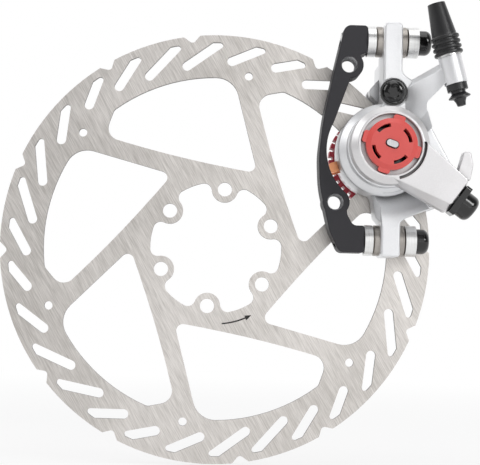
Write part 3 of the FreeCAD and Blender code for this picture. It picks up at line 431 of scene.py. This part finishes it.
@dataclass(frozen=True)
class TurnedMetal:
    """Metal with fine turning marks about an axis along X."""

    name: str
    colour: Colour
    shade: Colour
    roughness: float
    metallic: float = 0.92
    uneven: float = 0.2
    rings: Noise = Noise(1.0)
    ring_stretch: Point = (5200.0, 60.0, 60.0)
    ring_share: float = 0.65
    cloud: Noise = Noise(240.0)
    cloud_share: float = 0.35
    tone_span: Span = (0.32, 0.68)
    relief: Relief = Relief(0.15, 0.00005)

    def build(self) -> bpy.types.Material:
        """Makes the node material.

        Returns:
            The material.
        """
        shader = material(self.name)
        place = shader.place()
        rings = shader.noise(shader.turned(place, (0.0, 0.0, 0.0), self.ring_stretch), self.rings)
        cloud = shader.noise(place, self.cloud)
        marks = rings * self.ring_share + cloud * self.cloud_share
        return shader.surface({
            "Base Color": shader.mix(marks.step(*self.tone_span), self.shade, self.colour),
            "Metallic": self.metallic,
            "Roughness": self.roughness + around_half(marks, self.uneven),
            "Normal": shader.bump(marks, self.relief)})


@dataclass(frozen=True)
class MouldedPlastic:
    """Moulded plastic or rubber with a soft grain and scuffed edges."""

    name: str
    colour: Colour
    scuffed: Colour
    roughness: float
    relief: Relief = Relief(0.2, 0.00006)
    uneven: float = 0.15
    grain: Noise = Noise(1500.0)
    cloud: Noise = Noise(130.0, 3.0)
    scuff_span: Span = (0.35, 0.7)
    edge_round: float = 0.00035
    edge_wear: float = 0.6
    face_wear: float = 0.25

    def build(self) -> bpy.types.Material:
        """Makes the node material.

        Returns:
            The material.
        """
        shader = material(self.name)
        place = shader.place()
        grain = shader.noise(place, self.grain)
        cloud = shader.noise(place, self.cloud)
        scuffs = shader.edges(shader.bevel(self.edge_round)) * cloud.step(*self.scuff_span)
        return shader.surface({
            "Base Color": shader.mix(scuffs * self.edge_wear + cloud * self.face_wear, self.colour, self.scuffed),
            "Roughness": self.roughness + around_half(grain, self.uneven),
            "Normal": shader.bump(grain, self.relief)})


@dataclass(frozen=True)
class SinteredLining:
    """Dark friction lining with bright metal flecks."""

    name: str
    colour: Colour
    fleck: Colour
    roughness: float = 0.85
    fleck_gloss: float = 0.35
    fleck_metal: float = 0.8
    grain: Noise = Noise(1400.0, 4.0, 0.7)
    flecks: Noise = Noise(3200.0, 1.0)
    fleck_span: Span = (0.62, 0.7)
    relief: Relief = Relief(0.5, 0.0001)

    def build(self) -> bpy.types.Material:
        """Makes the node material.

        Returns:
            The material.
        """
        shader = material(self.name)
        place = shader.place()
        grain = shader.noise(place, self.grain)
        flecks = shader.noise(place, self.flecks).step(*self.fleck_span)
        return shader.surface({
            "Base Color": shader.mix(flecks, self.colour, self.fleck),
            "Metallic": flecks * self.fleck_metal,
            "Roughness": self.roughness - flecks * self.fleck_gloss,
            "Normal": shader.bump(grain, self.relief)})


@dataclass(frozen=True)
class EtchedMark:
    """Dark etching on the rotor, uneven as laser marking is."""

    name: str
    colour: Colour
    pale: Colour
    roughness: float = 0.55
    metallic: float = 0.3
    uneven: float = 0.2
    cloud: Noise = Noise(900.0, 3.0)
    tone_span: Span = (0.35, 0.75)

    def build(self) -> bpy.types.Material:
        """Makes the node material.

        Returns:
            The material.
        """
        shader = material(self.name)
        tone = shader.noise(shader.place(), self.cloud)
        return shader.surface({
            "Base Color": shader.mix(tone.step(*self.tone_span), self.colour, self.pale),
            "Metallic": self.metallic,
            "Roughness": self.roughness + around_half(tone, self.uneven)})


class Finishes:
    """Every finish of the brake, made once."""

    def __init__(self) -> None:
        """Builds the materials by slot."""
        makers = {
            Slot.ROTOR: BrushedSheet(
                "rotor_brushed_steel", colour=(0.88, 0.845, 0.81), streak=(0.51, 0.482, 0.45),
                side_wall=(0.12, 0.11, 0.1), roughness=0.42),
            # The black coats' brighter edge colour is partly wear and partly a painted edge highlight.
            Slot.BRACKET: BlackCoat(
                "bracket_black_coat", colour=(0.042, 0.041, 0.045), wear_and_highlight_colour=(0.3, 0.3, 0.3), wear_and_highlight_share=0.7,
                roughness=0.5, gloss=0.2, coat=0.0),
            Slot.BOLT: BlackCoat(
                "bolt_black_coat", colour=(0.005, 0.005, 0.005), wear_and_highlight_colour=(0.08, 0.08, 0.08), wear_and_highlight_share=0.5,
                roughness=0.12, gloss=0.5, coat=0.5),
            Slot.CUP: TurnedMetal(
                "cup_washer_alloy", colour=(0.88, 0.88, 0.875), shade=(0.76, 0.76, 0.75), roughness=0.3),
            Slot.BALL: TurnedMetal(
                "ball_washer_steel", colour=(0.46, 0.43, 0.4), shade=(0.32, 0.3, 0.275), roughness=0.32),
            # The alloys' dark corner colour is painted shade in tight corners.
            Slot.BODY: BlastedAlloy(
                "caliper_blasted_alloy", colour=(0.89, 0.895, 0.905), shade=(0.81, 0.815, 0.83),
                painted_corner_shade=(0.13, 0.13, 0.135), roughness=0.42, relief=Relief(0.2, 0.00007)),
            Slot.LEVER: BlastedAlloy(
                "lever_polished_alloy", colour=(0.775, 0.765, 0.77), shade=(0.695, 0.685, 0.69),
                painted_corner_shade=(0.13, 0.12, 0.12), roughness=0.38, relief=Relief(0.12, 0.00007)),
            Slot.KNOB: MouldedPlastic(
                "adjuster_red", colour=(0.68, 0.08, 0.07), scuffed=(0.78, 0.16, 0.14), roughness=0.34),
            # The same red plastic made darker: painted shade on the inboard knob, which sits in shade behind the
            # caliper.
            Slot.KNOB_PAINTED_SHADE: MouldedPlastic(
                "adjuster_red_painted_shade", colour=(0.36, 0.02, 0.04), scuffed=(0.45, 0.05, 0.07), roughness=0.42),
            Slot.STEEL: TurnedMetal(
                "inner_steel", colour=(0.7, 0.7, 0.71), shade=(0.52, 0.52, 0.53), roughness=0.3),
            Slot.SPRING: TurnedMetal(
                "spring_wire", colour=(0.5, 0.5, 0.51), shade=(0.36, 0.36, 0.37), roughness=0.35),
            Slot.RUBBER: MouldedPlastic(
                "black_rubber", colour=(0.014, 0.014, 0.015), scuffed=(0.05, 0.05, 0.05), roughness=0.36,
                relief=Relief(0.3, 0.00006)),
            Slot.COPPER: TurnedMetal(
                "copper_plating", colour=(1.0, 0.47, 0.24), shade=(0.96, 0.4, 0.2), roughness=0.4),
            Slot.LINING: SinteredLining(
                "sintered_lining", colour=(0.06, 0.05, 0.045), fleck=(0.5, 0.4, 0.3)),
        }
        self.by_slot: dict[Slot, bpy.types.Material] = {slot: maker.build() for slot, maker in makers.items()}
        etching = EtchedMark("rotor_etching", colour=(0.015, 0.014, 0.013), pale=(0.045, 0.043, 0.04))
        self.etched = etching.build()


def dress(obj: bpy.types.Object, finish: bpy.types.Material) -> None:
    """Gives an object one material."""
    obj.data.materials.clear()
    obj.data.materials.append(finish)


def link(obj: bpy.types.Object) -> bpy.types.Object:
    """Puts an object into the scene and returns it."""
    bpy.context.scene.collection.objects.link(obj)
    return obj


def add_mesh(name: str, corners: Sequence[Vector], faces: Sequence[Sequence[int]]) -> bpy.types.Object:
    """Adds a mesh object.

    Args:
        name: Name of the piece.
        corners: Vertices in metres.
        faces: Vertex numbers of each face.

    Returns:
        The new object.
    """
    mesh = bpy.data.meshes.new(name)
    mesh.from_pydata([tuple(c) for c in corners], [], [tuple(f) for f in faces])
    mesh.update()
    return link(bpy.data.objects.new(name, mesh))


def polar(radius: float, angle: float, centre: Spot = HUB) -> Spot:
    """Point in X and Z at an angle in degrees about a centre."""
    turn = math.radians(angle)
    return centre[0] + radius * math.cos(turn), centre[1] + radius * math.sin(turn)


def bearing(spot: Spot, centre: Spot = HUB) -> float:
    """Angle of a point in X and Z about a centre, in degrees."""
    return math.degrees(math.atan2(spot[1] - centre[1], spot[0] - centre[0]))


def leaves_circle(start: Spot, angle: float, radius: float) -> Spot:
    """Follows a line to where it leaves a circle about the hub.

    Args:
        start: Point of the line inside the circle.
        angle: Direction in degrees.
        radius: Radius of the circle.

    Returns:
        The point on the circle.
    """
    ahead = polar(1.0, angle)
    along = start[0] * ahead[0] + start[1] * ahead[1]
    run = math.sqrt(along ** 2 - start[0] ** 2 - start[1] ** 2 + radius ** 2) - along
    return polar(run, angle, start)


def arc(centre: Spot, radius: float, start: float, end: float, steps: int = 8) -> list[Spot]:
    """Points along an arc from one angle to another."""
    return [polar(radius, start + (end - start) * i / steps, centre) for i in range(steps + 1)]


def corner_web(centre: Spot, radius: float, sides: Span, painted_corner_shade: Spot, bite: float) -> list[Spot]:
    """Outlines the web between a rounding and the corner behind it.

    Args:
        centre: Centre of the rounding.
        radius: Radius of the rounding.
        sides: Angles at which the rounding meets the two sides of the corner.
        painted_corner_shade: The corner, sunk into the sheet.
        bite: How far the web sinks into the sheet.

    Returns:
        Points of the outline.
    """
    start, end = sides
    edge = radius + bite
    return [*arc(centre, radius, start, end), polar(edge, end, centre), painted_corner_shade, polar(edge, start, centre)]


def slabs(name: str, outlines: Sequence[Sequence[Spot]], front: float, back: float) -> bpy.types.Object:
    """Adds closed flat slabs.

    Args:
        name: Name of the piece.
        outlines: Outline of each slab in X and Z, in millimetres.
        front: Y of the face toward the viewer.
        back: Y of the other face.

    Returns:
        The new object.
    """
    corners: list[Vector] = []
    faces: list[tuple[int, ...]] = []
    for outline in outlines:
        area = sum(a[0] * b[1] - b[0] * a[1] for a, b in zip(outline, [*outline[1:], outline[0]]))
        ring = outline if area > 0 else outline[::-1]
        base, count = len(corners), len(ring)
        for y in (front, back):
            corners += [Vector((x, y, z)) * MM for x, z in ring]
        faces.append(tuple(range(base, base + count)))
        faces.append(tuple(range(base + 2 * count - 1, base + count - 1, -1)))
        for i in range(count):
            j = (i + 1) % count
            faces.append((base + j, base + i, base + count + i, base + count + j))
    return add_mesh(name, corners, faces)


def attach(obj: bpy.types.Object, body: Body, finish: bpy.types.Material) -> None:
    """Dresses an added piece and lets it ride on its body.

    Args:
        obj: The piece.
        body: Body that carries it.
        finish: Its material.
    """
    dress(obj, finish)
    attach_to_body(obj, body.value)
    LOG.info("added %s on %s", obj.name, body.value)


@dataclass(frozen=True)
class Lamp:
    """Soft square lamp, with its place and side in metres and its power in watts."""

    name: str
    place: Point
    size: float
    power: float

    def build(self, aim: Point) -> None:
        """Adds the lamp, turned toward a point.

        Args:
            aim: The point, in metres.
        """
        data = bpy.data.lights.new(self.name, "AREA")
        data.size = self.size
        data.energy = self.power
        obj = bpy.data.objects.new(self.name, data)
        way = Vector(aim) - Vector(self.place)
        obj.matrix_world = Matrix.Translation(self.place) @ way.to_track_quat("-Z", "Y").to_matrix().to_4x4()
        link(obj)


@dataclass
class Studio:
    """Floor, world, lamps and the camera of the photograph.

    The camera's sizes are in millimetres and degrees, those of the floor and the lamps in metres.
    """

    image_w: float = 480.0
    aim: Spot = (8.85, 5.86)
    tilt: Spot = (0.0395, 0.0632)
    roll: float = 1.3
    distance: float = 480.0
    pixels_per_mm: float = 2.6749
    sensor: float = 36.0
    clip_start: float = 0.01
    floor_size: float = 8.0
    floor_gap: float = 0.0005
    floor_tone: Colour = (0.86, 0.86, 0.86)
    floor_white: float = 0.8
    floor_fade: Span = (0.16, 0.7)
    room: Colour = (0.2, 0.2, 0.205)
    backdrop_span: Span = (-0.3, 0.5)
    soft_low: Colour = (0.2, 0.2, 0.21)
    soft_high: Colour = (0.5, 0.5, 0.51)
    soft_span: Span = (-0.7, 0.8)
    centre: Point = (0.04, 0.0, 0.02)
    lamps: tuple[Lamp, ...] = (
        Lamp("front_soft", (0.3, -1.2, 0.26), 0.7, 1.4),
        Lamp("key_right", (0.8, -1.0, 0.5), 0.4, 4.5),
        Lamp("left_soft", (-1.0, 0.0, 0.75), 0.8, 4.0),
        Lamp("top_soft", (0.1, -0.3, 1.0), 0.8, 3.0))

    def build(self) -> None:
        """Makes the whole studio."""
        self.camera()
        self.floor()
        self.world()
        for lamp in self.lamps:
            lamp.build(self.centre)
        bpy.context.scene.view_settings.view_transform = "Standard"

    def camera(self) -> None:
        """Sets the camera to the photograph's view."""
        forward = Vector((self.tilt[0], 1.0, self.tilt[1])).normalized()
        side = forward.cross(Vector((0, 0, 1))).normalized()
        rise = side.cross(forward)
        turn = math.radians(self.roll)
        right = math.cos(turn) * side + math.sin(turn) * rise
        up = math.cos(turn) * rise - math.sin(turn) * side
        place = Vector((self.aim[0], 0, self.aim[1])) - self.distance * forward
        data = bpy.data.cameras.new("studio_camera")
        data.sensor_width = self.sensor
        data.lens = self.pixels_per_mm * self.distance * self.sensor / self.image_w
        data.clip_start = self.clip_start
        obj = bpy.data.objects.new("studio_camera", data)
        axes = Matrix((right, up, -forward)).transposed().to_4x4()
        obj.matrix_world = Matrix.Translation(place * MM) @ axes
        bpy.context.scene.camera = link(obj)

    @staticmethod
    def rays(shader: Shader) -> tuple[Value, Value]:
        """Tells by what a surface is seen.

        Args:
            shader: Tree that gets the node.

        Returns:
            1 for rays from the camera, and 1 for those and rays from mirrors and glass.
        """
        path = shader.add("ShaderNodeLightPath", {}, {})
        camera, glossy, through = (
            Value(shader, path.outputs[key]) for key in ("Is Camera Ray", "Is Glossy Ray", "Is Transmission Ray"))
        return camera, (camera + glossy + through).capped()

    def floor(self) -> None:
        """Adds the pale floor, which keeps the shadow near the brake and fades to the white background."""
        low, half = CAD_BOX[0][2] - self.floor_gap, self.floor_size / 2
        corners = [Vector((x, y, low)) for x, y in ((-half, -half), (half, -half), (half, half), (-half, half))]
        obj = add_mesh("floor", corners, [(0, 1, 2, 3)])
        shader = material("pale_floor")
        away = shader.node("ShaderNodeVectorMath", {"operation": "LENGTH"}, {0: shader.place()}, "Value")
        faded = self.floor_white + (1.0 - self.floor_white) * away.step(*self.floor_fade)
        white = self.rays(shader)[1] * faded
        matt = shader.node("ShaderNodeBsdfDiffuse", {}, {"Color": (*self.floor_tone, 1.0)})
        glow = shader.node("ShaderNodeEmission", {}, {"Color": (*WHITE, 1.0), "Strength": 1.0})
        both = shader.node("ShaderNodeMixShader", {}, {0: white, 1: matt, 2: glow})
        dress(obj, shader.end("ShaderNodeOutputMaterial", both))

    def world(self) -> None:
        """Makes the backdrop white to the camera, mirrors and glass, and softer as light on the object."""
        shader = Shader(bpy.data.worlds.new("studio_world"))
        camera, seen = self.rays(shader)
        way = shader.node("ShaderNodeTexCoord", {}, {}, "Generated")
        depth = shader.node("ShaderNodeSeparateXYZ", {}, {"Vector": way}, "Y")
        height = shader.node("ShaderNodeSeparateXYZ", {}, {"Vector": way}, "Z")
        backdrop = shader.mix((camera + depth.step(*self.backdrop_span)).capped(), self.room, WHITE)
        light = shader.mix(height.step(*self.soft_span), self.soft_low, self.soft_high)
        soft = shader.node("ShaderNodeBackground", {}, {"Color": light, "Strength": 1.0})
        white = shader.node("ShaderNodeBackground", {}, {"Color": backdrop, "Strength": 1.0})
        both = shader.node("ShaderNodeMixShader", {}, {0: seen, 1: soft, 2: white})
        bpy.context.scene.world = shader.end("ShaderNodeOutputWorld", both)


class SubAssembly:
    """CAD nodes that belong together, with their finishes."""

    nodes: ClassVar[dict[str, Slot]] = {}

    def build(self, finishes: Finishes) -> None:
        """Dresses the nodes and adds the fine pieces.

        Args:
            finishes: Materials of the brake.
        """
        for name, slot in self.nodes.items():
            dress(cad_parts[name], finishes.by_slot[slot])
            LOG.info("dressed %s", name)
        self.add_pieces(finishes)

    def add_pieces(self, finishes: Finishes) -> None:
        """Adds nothing where a group has no fine pieces."""


@dataclass
class Rotor(SubAssembly):
    """Brushed rotor with rounded corners and the etched arrow that shows its running direction.

    Sizes are in millimetres and degrees, and angles run from +X toward +Z.
    """

    nodes: ClassVar[dict[str, Slot]] = {"rotor": Slot.ROTOR}
    face: float = -0.9
    sectors: int = 6
    arrow_lift: float = 0.02
    arrow_sink: float = 0.1
    arrow_radius: float = 28.4
    arrow_from: float = -84.4
    arrow_to: float = -66.1
    arrow_half_width: float = 0.27
    head_length: float = 2.5
    head_half_width: float = 0.95
    web_inset: float = 0.004
    web_bite: float = 0.4
    hub_ring: float = 30.2
    window_corner: Spot = (31.8, 1.1)
    window_round: float = 2.5
    lead_angle: float = 45.0
    lead_foot: float = -2.0
    trail_angle: float = 110.2
    trail_foot: float = 22.5
    band_inner: float = 64.0
    lead_start: Spot = (26.0, -4.7)
    lead_round: float = 8.5
    trail_corner: Spot = (13.924, 57.317)
    chord_angle: float = 11.08
    trail_side: float = -76.26
    trail_round: float = 4.9
    slots: tuple[Spot, ...] = ((73.5, 10.0), (73.1, 22.5), (72.5, 35.3), (72.4, 47.4), (73.1, 58.4))
    slot_out: float = -59.0
    slot_half_width: float = 1.8
    slot_rim: float = 77.3
    slot_round: float = 1.15
    slot_bite: float = 0.15
    bolt_circle: float = 22.0
    bolt_angle: float = 22.6
    hub_opening: float = 24.5
    ear_radius: float = 4.9
    ear_round: float = 2.8

    def add_pieces(self, finishes: Finishes) -> None:
        """Rounds the corners of the openings and etches the arrow.

        Args:
            finishes: Materials of the brake.
        """
        front, back = self.face + self.web_inset, -self.face - self.web_inset
        steel = finishes.by_slot[Slot.ROTOR]
        webs = {
            "window_corner_webs": [self.window_web(), self.lead_web(), self.trail_web()],
            "hub_ear_webs": [self.ear_web(-1), self.ear_web(1)],
            "slot_end_webs": [self.slot_web(radius, angle) for radius, angle in self.slots]}
        for name, outlines in webs.items():
            attach(slabs(name, self.around(outlines), front, back), Body.ROTOR, steel)
        arrow = slabs("rotor_arrow", [self.arrow()], self.face - self.arrow_lift, self.face + self.arrow_sink)
        attach(arrow, Body.ROTOR, finishes.etched)

    def around(self, outlines: Sequence[Sequence[Spot]]) -> list[list[Spot]]:
        """Repeats outlines in every sector.

        Args:
            outlines: Outlines in the first sector.

        Returns:
            Outlines of all sectors.
        """
        turned = []
        for k in range(self.sectors):
            cos, sin = polar(1.0, TURN * k / self.sectors)
            turned += [[(x * cos - z * sin, x * sin + z * cos) for x, z in outline] for outline in outlines]
        return turned

    def window_web(self) -> list[Spot]:
        """Outlines the web in a window's corner at the hub.

        Returns:
            Points that bite into the spoke and the hub ring.
        """
        half = math.radians(self.trail_angle - self.lead_angle) / 2
        middle = (self.trail_angle + self.lead_angle) / 2
        centre = polar(self.window_round / math.sin(half), middle, self.window_corner)
        lead_side, trail_side = self.lead_angle - QUARTER, self.trail_angle + QUARTER - TURN
        rounded = arc(centre, self.window_round, lead_side, trail_side)
        inner = arc(HUB, self.hub_ring - self.web_bite, self.trail_foot, self.lead_foot)
        sunk = polar(self.window_round + self.web_bite, lead_side, centre)
        return [*rounded, polar(self.hub_ring, self.trail_foot), *inner, sunk]

    def lead_web(self) -> list[Spot]:
        """Outlines the web in a window's corner between the straight spoke side and the band.

        Returns:
            Points that bite into the spoke and the band.
        """
        side = self.lead_angle - QUARTER
        start = polar(-self.lead_round, side, self.lead_start)
        centre = leaves_circle(start, self.lead_angle, self.band_inner - self.lead_round)
        sunk = polar(self.web_bite, side, self.lead_start)
        painted_corner_shade = leaves_circle(sunk, self.lead_angle, self.band_inner + self.web_bite)
        return corner_web(centre, self.lead_round, (side, bearing(centre)), painted_corner_shade, self.web_bite)

    def trail_web(self) -> list[Spot]:
        """Outlines the web in a window's corner between the curved spoke side and the band.

        Returns:
            Points that bite into the spoke and the band.
        """
        slope = math.sin(math.radians(self.chord_angle - self.trail_side) / 2)
        middle = (self.chord_angle + self.trail_side) / 2
        centre = polar(self.trail_round / slope, middle, self.trail_corner)
        painted_corner_shade = polar(-self.web_bite / slope, middle, self.trail_corner)
        sides = (self.chord_angle + QUARTER, self.trail_side + TURN - QUARTER)
        return corner_web(centre, self.trail_round, sides, painted_corner_shade, self.web_bite)

    def slot_web(self, radius: float, angle: float) -> list[Spot]:
        """Outlines the web in the pointed outer end of a slot.

        Args:
            radius: Distance of the slot's middle from the hub, in millimetres.
            angle: Angle of the slot's middle, in degrees.

        Returns:
            Points that bite into the sheet round the end.
        """
        out = angle + self.slot_out
        side = out - QUARTER
        middle = polar(radius, angle)
        start = polar(self.slot_half_width - self.slot_round, side, middle)
        centre = leaves_circle(start, out, self.slot_rim - self.slot_round)
        sunk = polar(self.slot_half_width + self.slot_bite, side, middle)
        painted_corner_shade = leaves_circle(sunk, out, self.slot_rim + self.slot_bite)
        return corner_web(centre, self.slot_round, (bearing(centre), side), painted_corner_shade, self.slot_bite)

    def ear_web(self, side: int) -> list[Spot]:
        """Outlines the web between a bolt ear and the hub opening.

        Args:
            side: -1 or 1 for the two flanks of the ear.

        Returns:
            Points that bite into the ear and the ring.
        """
        ear = polar(self.bolt_circle, self.bolt_angle)
        out, past = self.hub_opening - self.ear_round, self.ear_radius + self.ear_round
        share = (self.bolt_circle ** 2 + out ** 2 - past ** 2) / (2 * self.bolt_circle * out)
        angle = self.bolt_angle + side * math.degrees(math.acos(share))
        centre = polar(out, angle)
        to_ear = bearing(ear, centre)
        swing = (to_ear - angle + HALF) % TURN - HALF
        rounded = arc(centre, self.ear_round, angle, angle + swing)
        ring = arc(HUB, self.hub_opening + self.web_bite, (angle + self.bolt_angle) / 2, angle)
        return [*rounded, polar(self.ear_round + self.web_bite, to_ear, centre), *ring]

    def arrow(self) -> list[Spot]:
        """Outlines the curved arrow.

        Returns:
            Points round the shaft and the head.
        """
        near, far = (self.arrow_radius + side * self.arrow_half_width for side in (-1, 1))
        tip = self.arrow_to + math.degrees(self.head_length / self.arrow_radius)
        head = [polar(self.arrow_radius + side * self.head_half_width, angle)
                for side, angle in ((-1, self.arrow_to), (0, tip), (1, self.arrow_to))]
        out = arc(HUB, near, self.arrow_from, self.arrow_to)
        return [*out, *head, *arc(HUB, far, self.arrow_to, self.arrow_from)]


@dataclass
class Bracket(SubAssembly):
    """Black bracket with the screw threads of its two frame holes, in millimetres."""

    nodes: ClassVar[dict[str, Slot]] = {"mount_bracket": Slot.BRACKET}
    holes: dict[str, Spot] = field(
        default_factory=lambda: {"upper": (47.204, 67.898), "lower": (42.904, 17.098)})
    hole_radius: float = 3.0
    thread_depth: float = 0.4
    pitch: float = 1.0
    ridge_width: float = 0.9
    front: float = -13.0
    back: float = -5.0
    sides: int = 32

    def add_pieces(self, finishes: Finishes) -> None:
        """Cuts a thread into each frame hole.

        Args:
            finishes: Materials of the brake.
        """
        for name, centre in self.holes.items():
            ridge = self.thread(f"frame_thread_{name}", centre)
            attach(ridge, Body.CALIPER, finishes.by_slot[Slot.STEEL])

    def thread(self, name: str, centre: Spot) -> bpy.types.Object:
        """Winds the inner ridge of a thread.

        Args:
            name: Name of the piece.
            centre: Place of the hole in X and Z, in millimetres.

        Returns:
            The ridge, with a triangular section.
        """
        wall, crest = self.hole_radius, self.hole_radius - self.thread_depth
        section = ((wall, 0.0), (crest, 0.5), (wall, 1.0))
        size = len(section)
        count = int(((self.back - self.front) / self.pitch - 1) * self.sides)
        corners: list[Vector] = []
        for i in range(count + 1):
            for radius, along in section:
                x, z = polar(radius, TURN * i / self.sides, centre)
                y = self.front + (i / self.sides + along * self.ridge_width) * self.pitch
                corners.append(Vector((x, y, z)) * MM)
        faces: list[tuple[int, ...]] = []
        for i in range(count):
            for j in range(size):
                a, b = size * i + j, size * i + (j + 1) % size
                faces.append((a, b, b + size, a + size))
        first, last = range(size), range(size * count, size * (count + 1))
        return add_mesh(name, corners, [*faces, tuple(reversed(first)), tuple(last)])


class MountHardware(SubAssembly):
    """Bolts and spherical washers that hold the caliper on its bracket."""

    nodes: ClassVar[dict[str, Slot]] = {
        "mount_bolts": Slot.BOLT, "flat_washers": Slot.CUP, "cup_washers": Slot.CUP, "ball_washers": Slot.BALL}


class CaliperBody(SubAssembly):
    """Both caliper halves and the screws that join them."""

    nodes: ClassVar[dict[str, Slot]] = {
        "outboard_body": Slot.BODY, "inboard_body": Slot.BODY, "body_bolts": Slot.BOLT}


class Lever(SubAssembly):
    """Pull lever with its cable clamp, return spring and dust seal."""

    nodes: ClassVar[dict[str, Slot]] = {
        "lever_arm": Slot.LEVER, "pinch_washer": Slot.BOLT, "pinch_bolt": Slot.BOLT,
        "return_spring": Slot.SPRING, "dust_seal": Slot.RUBBER}


class Adjusters(SubAssembly):
    """Red knobs, the ball ramp and the feet that push the pads."""

    nodes: ClassVar[dict[str, Slot]] = {
        # The inboard knob takes the darker red copy, which is painted shade.
        "outboard_knob": Slot.KNOB, "inboard_knob": Slot.KNOB_PAINTED_SHADE, "foot_screw": Slot.STEEL,
        "drive_cam": Slot.BOLT, "fixed_cam": Slot.STEEL, "ramp_balls": Slot.STEEL, "ball_cage": Slot.STEEL,
        "outboard_foot": Slot.STEEL, "inboard_foot": Slot.STEEL}


class Pads(SubAssembly):
    """Brake pads on copper-plated backs, with the leaf that spreads them."""

    nodes: ClassVar[dict[str, Slot]] = {
        "outboard_pad_plate": Slot.COPPER, "inboard_pad_plate": Slot.COPPER,
        "outboard_pad_lining": Slot.LINING, "inboard_pad_lining": Slot.LINING, "pad_spring": Slot.SPRING}


class CableStop(SubAssembly):
    """Ferrule, ribbed boot and seal of the cable stop."""

    nodes: ClassVar[dict[str, Slot]] = {
        "cable_ferrule": Slot.CUP, "adjuster_boot": Slot.RUBBER, "cable_seal": Slot.RUBBER}


def main() -> None:
    """Builds the studio and dresses the brake group by group."""
    logging.basicConfig(level=logging.INFO, format="%(message)s")
    Studio().build()
    finishes = Finishes()
    groups = (Rotor(), Bracket(), MountHardware(), CaliperBody(), Lever(), Adjusters(), Pads(), CableStop())
    for group in groups:
        LOG.info("group %s", type(group).__name__)
        group.build(finishes)


if __name__ == "__main__":
    main()
